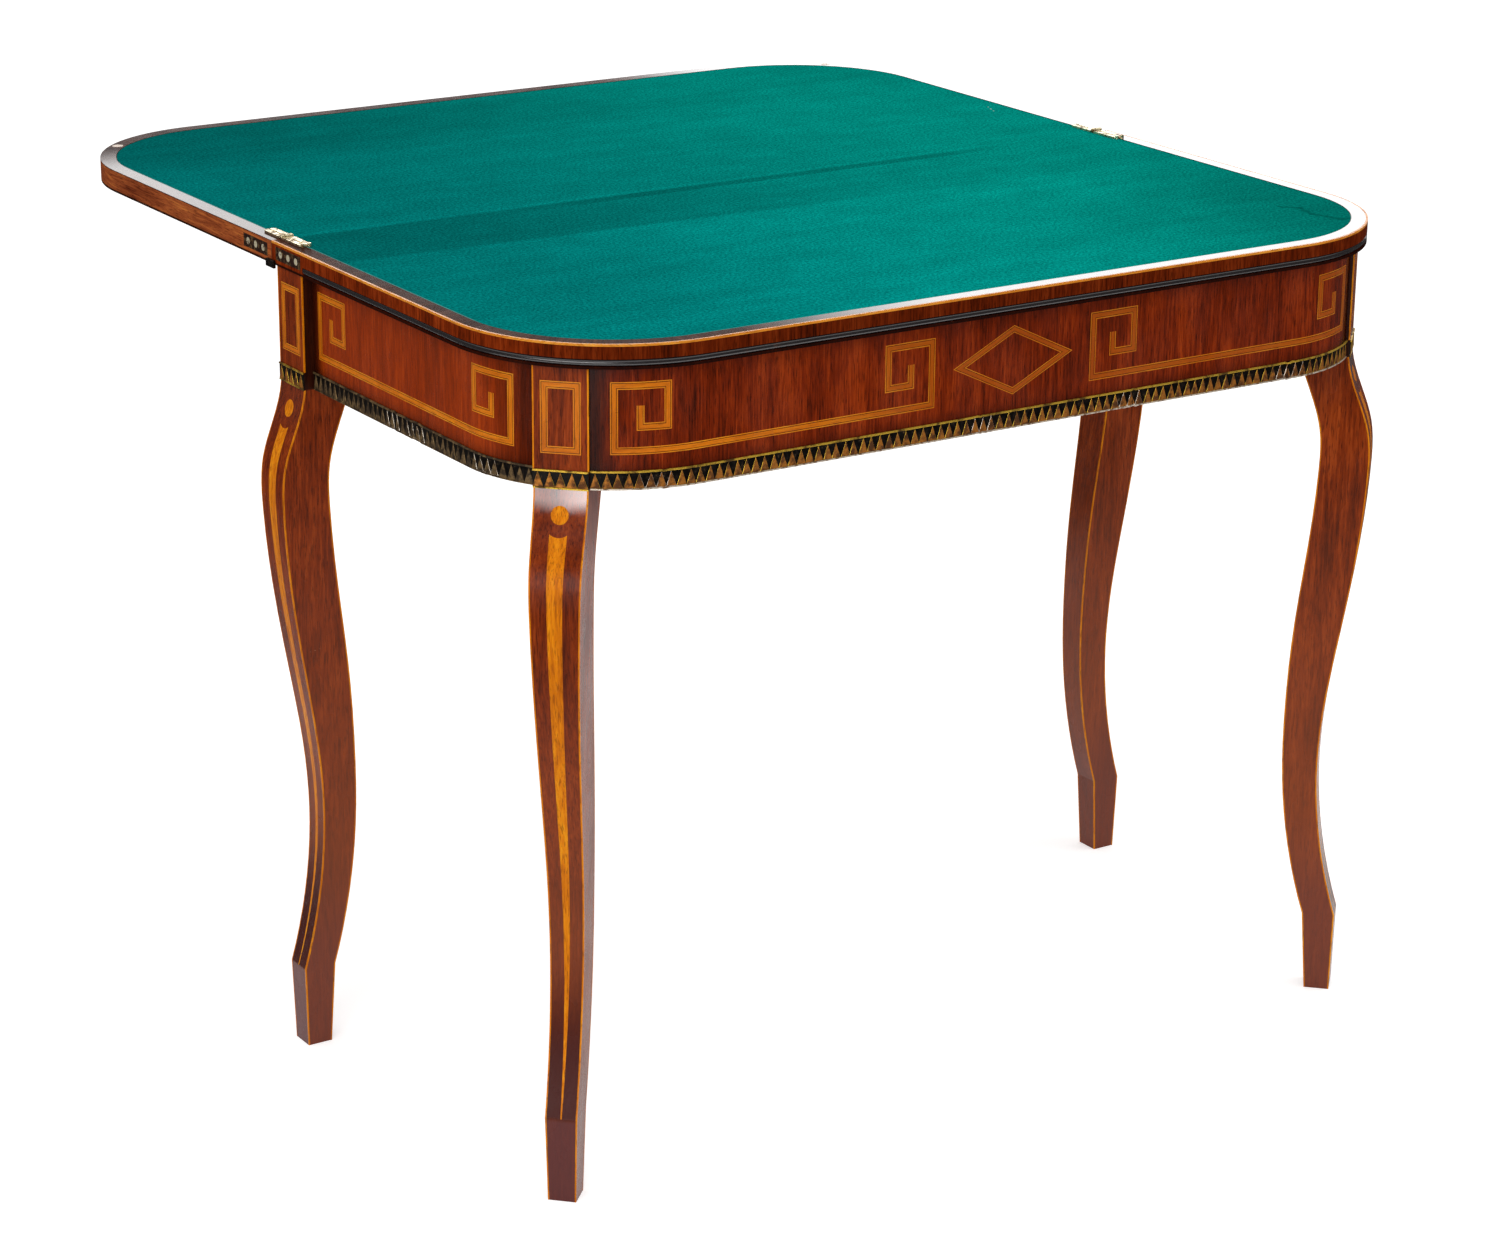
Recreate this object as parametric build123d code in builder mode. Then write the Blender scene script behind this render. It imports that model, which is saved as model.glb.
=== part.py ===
from build123d import *
from math import asin, copysign, pi, sin, sqrt
import os

# A flip-top card table with its leaf opened to the back.
# The fold line runs along X at Y = 0, the front is at -Y, the floor is at Z = 0.
# The origin is on the floor under the middle of the opened top. All sizes are millimetres.

os.makedirs("parts", exist_ok=True)

# Driving dimensions of the top
table_height = 760.0
top_width = 930.0
leaf_depth = 485.0
corner_radius = 150.0
leaf_thickness = 21.0
fold_gap = 0.6
rim_width = 15.0

# Cloth, light line and black bead
baize_thickness = 0.8
baize_recess = 1.0
baize_margin = 0.6
stringing_size = 2.0
bead_radius = 3.2
bead_rise = 2.0
bead_stop = 6.0

# Frame
apron_height = 104.0
frieze_inset = 12.0
rail_thickness = 20.0
inner_rail_thickness = 18.0
bearer_width = 60.0
bearer_thickness = 22.0
glue_block_size = 18.0
glue_block_length = 60.0
corner_block_size = 40.0
corner_block_height = 90.0

# Stiles: the square tops of the legs
stile_width = 47.0
stile_depth = 50.0
front_stile_inset = 9.0
front_stile_slip = 8.5
rear_stile_inset = 2.0
rear_stile_setback = 6.5

# Legs
knee_outset = 24.0
leg_top_depth = 46.0
foot_taper_height_share = 0.123
# Height up the leg, how far its face stands out against the knee, its depth against the top
leg_side_shares = (
    (1.000, 0.00, 1.00),
    (0.970, 0.16, 0.94),
    (0.890, 0.90, 0.97),
    (0.820, 1.00, 1.00),
    (0.748, 0.88, 1.01),
    (0.573, 0.27, 0.95),
    (0.455, -0.18, 0.80),
    (0.335, -0.30, 0.71),
    (0.215, 0.08, 0.68),
    (foot_taper_height_share, 0.70, 0.67),
)
foot_front_share = 0.645
foot_depth_share = 0.52
rear_foot_tuck = 5.0
# Height up the leg, face width against the stile
leg_face_shares = (
    (1.000, 0.98),
    (0.905, 0.95),
    (0.698, 0.82),
    (0.504, 0.70),
    (0.315, 0.62),
    (foot_taper_height_share, 0.60),
)
foot_width_share = 0.53

# Inlay
inlay_depth = 1.0
inlay_band = 6.4
inlay_height = 61.0
key_width = 51.0
key_eye = 21.5
key_foot_rise = 20.0
key_eye_rise = 41.0
front_key_margin = 16.4
side_key_margin = 20.0
rear_key_margin = 10.5
lozenge_margin = 19.0
lozenge_width = 126.0
stile_panel_width = 34.0
disc_diameter = 15.0
disc_drop = 21.0
fillet_drop = 36.0
fillet_width = 15.0
fillet_hollow = 2.5
fillet_tip_width = 1.2

# Brass band
brass_height = 16.0
brass_thickness = 1.0

# Leaf hinges
hinge_rise = 2.0
knuckle_radius = 1.9
knuckle_gap = 0.3
knuckle_count = 3
hinge_pin_radius = 0.9
hinge_pin_clearance = 0.05
hinge_pin_overhang = 0.8
strap_inset = 15.0
strap_width = 12.0
strap_thickness = 1.8
strap_groove = 1.6
strap_start = 2.3
fixed_strap_length = 38.0
fly_strap_length = 35.0
strap_stud_radius = 1.7
strap_stud_height = 3.2
strap_stud_spacing = 6.6
edge_plate_start = 8.0
edge_plate_length = 48.0
edge_plate_height = 12.0
edge_plate_thickness = 1.5
edge_plate_drop = 4.0
plate_screw_count = 3
plate_screw_spacing = 15.0
screw_head_radius = 3.2
screw_head_depth = 1.8
screw_shank_radius = 1.6
screw_length = 16.0
screw_slot_width = 0.7
screw_slot_depth = 0.6
lug_length = 7.0
lug_thickness = 3.0
lug_height = 7.0
lug_drop = 3.0
lug_gap = 0.8

# Pale plugs let flush into the rim of the opened leaf
plug_radius = 5.5
plug_depth = 3.0

# Swinging rear leg
gate_clearance = 0.5
gate_pivot_offset = 15.0
gate_rail_thickness = 19.0
gate_pin_radius = 3.0
gate_pin_clearance = 0.05
gate_finger_count = 5
gate_finger_gap = 0.6
gate_heel_clearance = 1.0

# Screws through the bearer
bearer_screw_count = 4
bearer_screw_bite = 12.0
bearer_screw_head_radius = 4.5
bearer_screw_head_depth = 2.6
bearer_screw_shank_radius = 2.2

# One overrun for every cut
overrun = 5.0

# Levels and places that follow from the sizes above
leaf_bottom = table_height - leaf_thickness
apron_bottom = leaf_bottom - apron_height
brass_top = apron_bottom + brass_height
inlay_middle = (brass_top + leaf_bottom) / 2
inlay_low = inlay_middle - inlay_height / 2
inlay_high = inlay_middle + inlay_height / 2
bead_level = leaf_bottom + bead_rise + bead_radius
hinge_level = table_height + hinge_rise
half_width = top_width / 2
half_gap = fold_gap / 2
diagonal = sqrt(2) / 2
corner_x = half_width - corner_radius
corner_y = leaf_depth - corner_radius
frieze_radius = corner_radius - frieze_inset
rear_stile_front = rear_stile_setback + stile_width
rear_stile_middle = rear_stile_setback + stile_width / 2
rear_stile_face = half_width - rear_stile_inset
rear_stile_back = rear_stile_face - stile_depth
rail_inner_x = half_width - frieze_inset - rail_thickness
rail_inner_y = leaf_depth - frieze_inset - rail_thickness
inner_rail_back = rear_stile_front + gate_clearance
inner_rail_front = inner_rail_back + inner_rail_thickness
gate_rail_middle = rear_stile_front - gate_rail_thickness / 2
gate_knuckle_radius = gate_rail_thickness / 2
front_stile_reach = corner_radius - front_stile_inset
front_turn = pi / 4 - asin((stile_width / 2 - front_stile_slip) / frieze_radius)
side_turn = pi / 4 - asin((stile_width / 2 + front_stile_slip) / frieze_radius)
front_key_start = lozenge_width / 2 + lozenge_margin
front_key_end = corner_x + frieze_radius * front_turn - front_key_margin
side_key_start = rear_stile_front + rear_key_margin
side_key_end = corner_y + frieze_radius * side_turn - side_key_margin


def on_diagonal(side, along, out):
    """Plan point beside a front corner's diagonal: along the tangent, and outwards."""
    x = corner_x + diagonal * (out - along)
    y = -corner_y - diagonal * (out + along)
    return (side * x, y)


def leaf_plan(level, inset=0.0, setback=half_gap):
    """Plan of the fixed leaf at a level, drawn in from its edge: two round front corners."""
    x = half_width - inset
    y = leaf_depth - inset
    with BuildSketch(Plane.XY.offset(level)) as plan:
        with BuildLine():
            left = Line((-x, -setback), (-x, -corner_y))
            left_corner = RadiusArc(left @ 1, (-corner_x, -y), -(corner_radius - inset))
            front = Line(left_corner @ 1, (corner_x, -y))
            right_corner = RadiusArc(front @ 1, (x, -corner_y), -(corner_radius - inset))
            right = Line(right_corner @ 1, (x, -setback))
            Line(right @ 1, left @ 0)
        make_face()
    return plan.sketch


def edge_ring(level, outer_inset, inner_inset, setback=half_gap):
    """Strip between two outlines of the leaf, open at the fold."""
    outer = leaf_plan(level, outer_inset, setback)
    inner = leaf_plan(level, inner_inset, setback - overrun)
    with BuildSketch(Plane.XY.offset(level)) as ring:
        add(outer)
        add(inner, mode=Mode.SUBTRACT)
    return ring.sketch


def front_region(level):
    """Plan of the stretch of the frieze between the two front stiles."""
    along = stile_width / 2 - front_stile_slip
    reach = corner_radius + stile_depth
    points = [on_diagonal(-1, along, 0), on_diagonal(-1, along, reach)]
    points += [on_diagonal(1, along, reach), on_diagonal(1, along, 0)]
    with BuildSketch(Plane.XY.offset(level)) as region:
        with BuildLine():
            Polyline(*points, close=True)
        make_face()
    return region.sketch


def side_region(level, side, rear_end):
    """Plan of the stretch of the frieze from a front stile back to a rear end."""
    along = -stile_width / 2 - front_stile_slip
    near = on_diagonal(side, along, 0)
    far = on_diagonal(side, along, corner_radius + stile_depth)
    points = [near, far, (far[0], -rear_end), (near[0], -rear_end)]
    with BuildSketch(Plane.XY.offset(level)) as region:
        with BuildLine():
            Polyline(*points, close=True)
        make_face()
    return region.sketch


def along_frieze(run, flat):
    """How far along the straight a run along the frieze gets, its end bent round the corner."""
    if abs(run) <= flat:
        return run
    turn = (abs(run) - flat) / frieze_radius
    return copysign(flat + frieze_radius * sin(turn), run)


def key_bars(start, end):
    """Bars of one panel, a key at each end: first and last run, low and high level."""
    bars = [(start, end, inlay_low, inlay_low + inlay_band)]
    key_foot = inlay_low + key_foot_rise
    for outer, way in ((start, 1), (end, -1)):
        far = outer + way * key_width
        eye = outer + way * key_eye
        bars.append((outer, outer + way * inlay_band, inlay_low, inlay_high))
        bars.append((outer, far, inlay_high - inlay_band, inlay_high))
        bars.append((far - way * inlay_band, far, key_foot, inlay_high))
        bars.append((eye, far, key_foot, key_foot + inlay_band))
        bars.append((eye, eye + way * inlay_band, key_foot, inlay_low + key_eye_rise))
    return bars


def front_stencil():
    """Outline of the front rail's inlay, seen from the front."""
    panels = key_bars(-front_key_end, -front_key_start) + key_bars(front_key_start, front_key_end)
    inner_scale = 1 - 2 * inlay_band / inlay_height
    with BuildSketch(Plane.XZ.offset(corner_y)) as stencil:
        for first, last, low, high in panels:
            a = along_frieze(first, corner_x)
            b = along_frieze(last, corner_x)
            with Locations(((a + b) / 2, (low + high) / 2)):
                Rectangle(abs(b - a), high - low)
        with Locations((0, inlay_middle)):
            for size, mode in ((1, Mode.ADD), (inner_scale, Mode.SUBTRACT)):
                w = size * lozenge_width / 2
                h = size * inlay_height / 2
                Polygon((-w, 0), (0, -h), (w, 0), (0, h), align=None, mode=mode)
    return stencil.sketch


def side_stencil(side):
    """Outline of a side rail's inlay, seen from that side."""
    with BuildSketch(Plane.YZ.offset(side * corner_x)) as stencil:
        for first, last, low, high in key_bars(side_key_start, side_key_end):
            a = -along_frieze(first, corner_y)
            b = -along_frieze(last, corner_y)
            with Locations(((a + b) / 2, (low + high) / 2)):
                Rectangle(abs(b - a), high - low)
    return stencil.sketch


def frieze_inlay(stencil, depth_way, lift):
    """Stencil cut out of a thin shell along the frieze; the lift makes it stand proud."""
    with BuildPart() as inlay:
        extrude(edge_ring(inlay_low - overrun, frieze_inset - lift, frieze_inset + inlay_depth),
                amount=inlay_height + 2 * overrun)
        extrude(stencil, amount=depth_way * (corner_radius + overrun), mode=Mode.INTERSECT)
    return inlay.part


def side_plane(origin, outward):
    """Plane seen from a leg's side: X out of its face, Y up."""
    return Plane(origin=(*origin, 0), x_dir=(*outward, 0), z_dir=(outward[1], -outward[0], 0))


def face_plane(origin, outward, lift=0.0):
    """Plane on a leg's face, or lifted off it: X along the face, Y up."""
    raised = (origin[0] + lift * outward[0], origin[1] + lift * outward[1], 0)
    return Plane(origin=raised, x_dir=(-outward[1], outward[0], 0), z_dir=(*outward, 0))


def face_points(tuck, shift=0.0):
    """Points of the leg's front line, from the stile down to the ankle; the tuck draws it in."""
    return [(out * knee_outset - tuck * (1 - up) + shift, up * apron_bottom)
            for up, out, depth in leg_side_shares]


def back_points(tuck):
    """Points of the leg's back line, from the stile down to the ankle; the tuck draws it in."""
    return [(out * knee_outset - tuck * (1 - up) - depth * leg_top_depth, up * apron_bottom)
            for up, out, depth in leg_side_shares]


def leg_timber(origin, outward, tuck):
    """A curved leg and its stile in one timber, less the recesses of its inlay."""
    foot_front = foot_front_share * knee_outset - tuck
    foot_back = foot_front - foot_depth_share * leg_top_depth
    halves = [(share * stile_width / 2, up * apron_bottom) for up, share in leg_face_shares]
    foot_half = foot_width_share * stile_width / 2
    with BuildPart() as timber:
        with BuildSketch(side_plane(origin, outward)):
            with BuildLine():
                face = Spline(*face_points(tuck))
                foot = Polyline(face @ 1, (foot_front, 0), (foot_back, 0), back_points(tuck)[-1])
                back = Spline(*reversed(back_points(tuck)))
                Line(back @ 1, face @ 0)
            make_face()
        extrude(amount=stile_width / 2, both=True)
        with BuildSketch(face_plane(origin, outward)):
            with BuildLine():
                right = Spline(*halves)
                foot = Polyline(right @ 1, (foot_half, 0), (-foot_half, 0), (-halves[-1][0], halves[-1][1]))
                left = Spline(*[(-half, up) for half, up in reversed(halves)])
                Line(left @ 1, right @ 0)
            make_face()
        extrude(amount=stile_depth + knee_outset, both=True, mode=Mode.INTERSECT)
        with BuildSketch(face_plane(origin, outward)):
            with Locations((0, (apron_bottom + leaf_bottom) / 2)):
                Rectangle(stile_width, apron_height)
        extrude(amount=-stile_depth)
        add(leg_inlay(origin, outward, tuck, overrun), mode=Mode.SUBTRACT)
        add(stile_panel(origin, outward, overrun), mode=Mode.SUBTRACT)
    return timber.part


def leg_inlay(origin, outward, tuck, lift=0.0):
    """Disc and tapering fillet in a leg's face, following its curve."""
    top = apron_bottom - fillet_drop
    tip = foot_taper_height_share * apron_bottom
    with BuildPart() as inlay:
        with BuildSketch(side_plane(origin, outward)):
            with BuildLine():
                outer = Spline(*face_points(tuck, lift))
                inner = Spline(*face_points(tuck, -inlay_depth))
                Line(outer @ 0, inner @ 0)
                Line(outer @ 1, inner @ 1)
            make_face()
        extrude(amount=stile_width / 2, both=True)
        with BuildSketch(face_plane(origin, outward, -stile_depth)):
            with BuildLine():
                head = ThreePointArc((-fillet_width / 2, top), (0, top - fillet_hollow), (fillet_width / 2, top))
                Polyline(head @ 1, (fillet_tip_width / 2, tip), (-fillet_tip_width / 2, tip), head @ 0)
            make_face()
            with Locations((0, apron_bottom - disc_drop)):
                Circle(disc_diameter / 2)
        extrude(amount=stile_depth + knee_outset + 2 * overrun, mode=Mode.INTERSECT)
    return inlay.part


def stile_panel(origin, outward, lift=0.0):
    """Upright rectangle of banding let into a stile's face."""
    with BuildPart() as panel:
        with BuildSketch(face_plane(origin, outward, -inlay_depth)):
            with Locations((0, inlay_middle)):
                Rectangle(stile_panel_width, inlay_height)
                Rectangle(stile_panel_width - 2 * inlay_band, inlay_height - 2 * inlay_band,
                          mode=Mode.SUBTRACT)
        extrude(amount=inlay_depth + lift)
    return panel.part


def stile_brass(origin, outward):
    """Brass strip across the foot of a stile's face."""
    with BuildPart() as strip:
        with BuildSketch(face_plane(origin, outward)):
            with Locations((0, apron_bottom + brass_height / 2)):
                Rectangle(stile_width, brass_height)
        extrude(amount=brass_thickness)
    return strip.part


def screw(seat, head_radius, head_depth, shank_radius, length, mode=Mode.ADD):
    """Countersunk screw whose head lies flush in the seat plane."""
    with Locations(seat):
        Cone(shank_radius, head_radius, head_depth,
             align=(Align.CENTER, Align.CENTER, Align.MAX), mode=mode)
        Cylinder(shank_radius, length, align=(Align.CENTER, Align.CENTER, Align.MAX), mode=mode)


def screw_slot(seat, head_radius):
    """Slot across a screw's head."""
    with Locations(seat):
        Box(2 * head_radius, screw_slot_width, screw_slot_depth,
            align=(Align.CENTER, Align.CENTER, Align.MAX), mode=Mode.SUBTRACT)


def plate_screw_seats(side, way):
    """Seats of one edge plate's screws; way is -1 on the fixed leaf and 1 on the fly leaf."""
    middle = edge_plate_start + edge_plate_length / 2
    level = table_height - edge_plate_drop - edge_plate_height / 2
    seats = []
    for number in range(plate_screw_count):
        step = (number - (plate_screw_count - 1) / 2) * plate_screw_spacing
        seats.append(Plane(origin=(side * half_width, way * (middle + step), level), z_dir=(side, 0, 0)))
    return seats


def edge_plate(side, way, lift=0.0):
    """Brass plate let into the end of a leaf's edge beside the fold, less its screw holes."""
    middle = edge_plate_start + edge_plate_length / 2
    level = table_height - edge_plate_drop - edge_plate_height / 2
    with BuildPart() as plate:
        with BuildSketch(Plane.YZ.offset(side * (half_width - edge_plate_thickness))):
            with Locations((way * middle, level)):
                Rectangle(edge_plate_length, edge_plate_height)
        extrude(amount=side * (edge_plate_thickness + lift))
        if lift == 0:
            for seat in plate_screw_seats(side, way):
                screw(seat, screw_head_radius, screw_head_depth, screw_shank_radius, screw_length,
                      mode=Mode.SUBTRACT)
    return plate.part


def strap(side, way, length, own_knuckles):
    """Raised double strap on a leaf, with its knuckles round the hinge pin."""
    middle = side * (half_width - strap_inset)
    pitch = strap_width / knuckle_count
    with BuildPart() as plate:
        with BuildSketch(Plane.XY.offset(table_height)):
            with Locations((middle, way * (strap_start + length) / 2)):
                Rectangle(strap_width, length - strap_start)
        extrude(amount=strap_thickness)
        tip = plate.edges().filter_by(Axis.Z).group_by(Axis.Y)[-1 if way > 0 else 0]
        fillet(tip, strap_width / 2 - strap_groove)
        with BuildSketch(Plane.XY.offset(table_height + strap_thickness / 2)):
            with Locations((middle, way * (strap_start + strap_width + length) / 2)):
                Rectangle(strap_groove, length - strap_start - strap_width + overrun)
        extrude(amount=overrun, mode=Mode.SUBTRACT)
        for number in own_knuckles:
            across = middle + (number - (knuckle_count - 1) / 2) * pitch
            with Locations((across, 0, hinge_level)):
                Cylinder(knuckle_radius, pitch - knuckle_gap, rotation=(0, 90, 0))
            with Locations((across, way * strap_start, table_height)):
                Box(pitch - knuckle_gap, strap_start, strap_thickness,
                    align=(Align.CENTER, Align.MAX if way > 0 else Align.MIN, Align.MIN))
        with Locations((middle, 0, hinge_level)):
            Cylinder(hinge_pin_radius + hinge_pin_clearance, strap_width + 2 * overrun,
                     rotation=(0, 90, 0), mode=Mode.SUBTRACT)
        if way < 0:
            with Locations((middle, -length, table_height)):
                with GridLocations(strap_stud_spacing, 0, 2, 1):
                    Cylinder(strap_stud_radius, strap_stud_height,
                             align=(Align.CENTER, Align.CENTER, Align.MIN))
            fillet(plate.edges().filter_by(GeomType.CIRCLE).group_by(Axis.Z)[-1], strap_stud_radius / 2)
    return plate.part


def stop_lug(side, way):
    """Dark lug on a leaf's lower edge that butts against its fellow when the leaf is open."""
    with BuildPart() as lug:
        with BuildSketch(Plane.YZ.offset(side * half_width)):
            with Locations((way * (lug_gap + lug_length) / 2, leaf_bottom - lug_drop + lug_height / 2)):
                Rectangle(lug_length, lug_height)
        extrude(amount=side * lug_thickness)
        outer = lug.faces().sort_by(Axis.X)[-1 if side > 0 else 0]
        fillet(outer.edges(), lug_thickness / 3)
    return lug.part


def rim_plug(side, lift=0.0):
    """Round plug in the rim at a rounded corner of the opened leaf; the lift makes it stand proud."""
    out = corner_radius - rim_width / 2
    with BuildPart() as plug:
        with Locations((side * (corner_x + diagonal * out), corner_y + diagonal * out, table_height + lift)):
            Cylinder(plug_radius, plug_depth + lift, align=(Align.CENTER, Align.CENTER, Align.MAX))
    return plug.part


# Where each leg stands: the middle of its stile's face, which way it looks, its foot's tuck
front_left = (on_diagonal(-1, -front_stile_slip, front_stile_reach), (-diagonal, -diagonal), 0)
front_right = (on_diagonal(1, -front_stile_slip, front_stile_reach), (diagonal, -diagonal), 0)
rear_right = ((rear_stile_face, -rear_stile_middle), (1, 0), rear_foot_tuck)
rear_left = ((-rear_stile_face, -rear_stile_middle), (-1, 0), rear_foot_tuck)
fixed_corners = (front_left, front_right, rear_right)

# Legs, each in one timber with its stile
leg_places = {"front_left_leg": front_left, "front_right_leg": front_right, "rear_right_leg": rear_right}
for leg_name, place in leg_places.items():
    with BuildPart() as leg:
        add(leg_timber(*place))
    leg.part.label = leg_name
    export_step(leg.part, f"parts/{leg_name}.step")

with BuildPart() as rear_left_leg:
    add(leg_timber(*rear_left))
    with BuildSketch(Plane.XY.offset(leaf_bottom)):
        with Locations((-half_width, 0)):
            Rectangle(top_width, leaf_depth)
    extrude(amount=-gate_clearance, mode=Mode.SUBTRACT)
rear_left_leg.part.label = "rear_left_leg"
export_step(rear_left_leg.part, "parts/rear_left_leg.step")

# Inlay of the legs and stiles that stay put
with BuildPart() as leg_inlays:
    for place in fixed_corners:
        add(leg_inlay(*place))
leg_inlays.part.label = "leg_inlays"
export_step(leg_inlays.part, "parts/leg_inlays.step")

with BuildPart() as stile_inlays:
    for origin, outward, tuck in fixed_corners:
        add(stile_panel(origin, outward))
stile_inlays.part.label = "stile_inlays"
export_step(stile_inlays.part, "parts/stile_inlays.step")

with BuildPart() as stile_bands:
    for origin, outward, tuck in fixed_corners:
        add(stile_brass(origin, outward))
stile_bands.part.label = "stile_bands"
export_step(stile_bands.part, "parts/stile_bands.step")

# The same pieces on the leg that swings
with BuildPart() as gate_leg_inlay:
    add(leg_inlay(*rear_left))
gate_leg_inlay.part.label = "gate_leg_inlay"
export_step(gate_leg_inlay.part, "parts/gate_leg_inlay.step")

with BuildPart() as gate_stile_inlay:
    add(stile_panel(*rear_left[:2]))
gate_stile_inlay.part.label = "gate_stile_inlay"
export_step(gate_stile_inlay.part, "parts/gate_stile_inlay.step")

with BuildPart() as gate_stile_band:
    add(stile_brass(*rear_left[:2]))
gate_stile_band.part.label = "gate_stile_band"
export_step(gate_stile_band.part, "parts/gate_stile_band.step")

# Front rail, its ends curved to meet the front stiles
with BuildPart() as front_rail:
    extrude(edge_ring(apron_bottom, frieze_inset, frieze_inset + rail_thickness), amount=apron_height)
    extrude(front_region(apron_bottom), amount=apron_height, mode=Mode.INTERSECT)
    add(frieze_inlay(front_stencil(), 1, overrun), mode=Mode.SUBTRACT)
front_rail.part.label = "front_rail"
export_step(front_rail.part, "parts/front_rail.step")

with BuildPart() as front_rail_inlay:
    add(frieze_inlay(front_stencil(), 1, 0))
front_rail_inlay.part.label = "front_rail_inlay"
export_step(front_rail_inlay.part, "parts/front_rail_inlay.step")

with BuildPart() as front_band:
    extrude(edge_ring(apron_bottom, frieze_inset - brass_thickness, frieze_inset), amount=brass_height)
    extrude(front_region(apron_bottom), amount=brass_height, mode=Mode.INTERSECT)
front_band.part.label = "front_band"
export_step(front_band.part, "parts/front_band.step")

# Side rails; the left one stops short of the leg that swings
for side_name, side, rear_end in (("left", -1, inner_rail_back), ("right", 1, rear_stile_front)):
    with BuildPart() as side_rail:
        extrude(edge_ring(apron_bottom, frieze_inset, frieze_inset + rail_thickness), amount=apron_height)
        extrude(side_region(apron_bottom, side, rear_end), amount=apron_height, mode=Mode.INTERSECT)
        add(frieze_inlay(side_stencil(side), side, overrun), mode=Mode.SUBTRACT)
    side_rail.part.label = f"{side_name}_rail"
    export_step(side_rail.part, f"parts/{side_name}_rail.step")

    with BuildPart() as side_inlay:
        add(frieze_inlay(side_stencil(side), side, 0))
    side_inlay.part.label = f"{side_name}_rail_inlay"
    export_step(side_inlay.part, f"parts/{side_name}_rail_inlay.step")

    with BuildPart() as side_band:
        extrude(edge_ring(apron_bottom, frieze_inset - brass_thickness, frieze_inset), amount=brass_height)
        extrude(side_region(apron_bottom, side, rear_end), amount=brass_height, mode=Mode.INTERSECT)
    side_band.part.label = f"{side_name}_band"
    export_step(side_band.part, f"parts/{side_name}_band.step")

# Inner back rail, between the two side rails
with BuildPart() as inner_back_rail:
    with BuildSketch(Plane.XY.offset(apron_bottom)):
        with Locations((0, -(inner_rail_back + inner_rail_front) / 2)):
            Rectangle(2 * rail_inner_x, inner_rail_thickness)
    extrude(amount=apron_height)
inner_back_rail.part.label = "inner_back_rail"
export_step(inner_back_rail.part, "parts/inner_back_rail.step")

# Knuckle joint of the swinging rail: fingers of the two outer rails round one pin
gate_pivot = (-gate_pivot_offset, -gate_rail_middle)
finger_height = apron_height / gate_finger_count
heel = gate_knuckle_radius + gate_heel_clearance


def knuckle_cut(first, bottom, top, way):
    """Clear every second finger of a rail's end, leaving room for the other rail's knuckles."""
    for number in range(first, gate_finger_count, 2):
        level = apron_bottom + (number + 0.5) * finger_height
        low = bottom if number == 0 else level - finger_height / 2 - gate_finger_gap / 2
        high = top if number == gate_finger_count - 1 else level + finger_height / 2 + gate_finger_gap / 2
        with Locations((gate_pivot[0] - way * heel, gate_pivot[1], (low + high) / 2)):
            Box(2 * heel, 2 * heel, high - low, mode=Mode.SUBTRACT,
                align=(Align.MIN if way > 0 else Align.MAX, Align.CENTER, Align.CENTER))


with BuildPart() as outer_back_rail:
    with BuildSketch(Plane.XY.offset(apron_bottom)):
        with Locations(((gate_pivot[0] + rear_stile_back) / 2, gate_pivot[1])):
            Rectangle(rear_stile_back - gate_pivot[0], gate_rail_thickness)
        with Locations(gate_pivot):
            Circle(gate_knuckle_radius)
        with Locations(((gate_pivot[0] + heel + rear_stile_back) / 2, -rear_stile_front)):
            Rectangle(rear_stile_back - gate_pivot[0] - heel, 2 * gate_clearance)
    extrude(amount=apron_height)
    knuckle_cut(1, apron_bottom, leaf_bottom, 1)
    with Locations((*gate_pivot, (apron_bottom + leaf_bottom) / 2)):
        Cylinder(gate_pin_radius, apron_height, mode=Mode.SUBTRACT)
outer_back_rail.part.label = "outer_back_rail"
export_step(outer_back_rail.part, "parts/outer_back_rail.step")

with BuildPart() as fly_rail:
    with BuildSketch(Plane.XY.offset(apron_bottom)):
        with Locations(((gate_pivot[0] - rear_stile_back) / 2, gate_pivot[1])):
            Rectangle(rear_stile_back + gate_pivot[0], gate_rail_thickness)
        with Locations(gate_pivot):
            Circle(gate_knuckle_radius)
    extrude(amount=apron_height - gate_clearance)
    knuckle_cut(0, apron_bottom, leaf_bottom, -1)
    with Locations((*gate_pivot, (apron_bottom + leaf_bottom) / 2)):
        Cylinder(gate_pin_radius + gate_pin_clearance, apron_height, mode=Mode.SUBTRACT)
fly_rail.part.label = "fly_rail"
export_step(fly_rail.part, "parts/fly_rail.step")

with BuildPart() as gate_pin:
    with Locations((*gate_pivot, (apron_bottom + leaf_bottom) / 2)):
        Cylinder(gate_pin_radius, apron_height)
gate_pin.part.label = "gate_pin"
export_step(gate_pin.part, "parts/gate_pin.step")

# Bearer under the fixed leaf and the screws that hold the leaf down
bearer_bottom = leaf_bottom - bearer_thickness
bearer_length = rail_inner_y - inner_rail_front
bearer_pitch = bearer_length / bearer_screw_count
bearer_seats = []
for number in range(bearer_screw_count):
    along_y = -inner_rail_front - (number + 0.5) * bearer_pitch
    bearer_seats.append(Plane(origin=(0, along_y, bearer_bottom), z_dir=(0, 0, -1)))
bearer_screw_sizes = (bearer_screw_head_radius, bearer_screw_head_depth, bearer_screw_shank_radius,
                      bearer_thickness + bearer_screw_bite)

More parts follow.
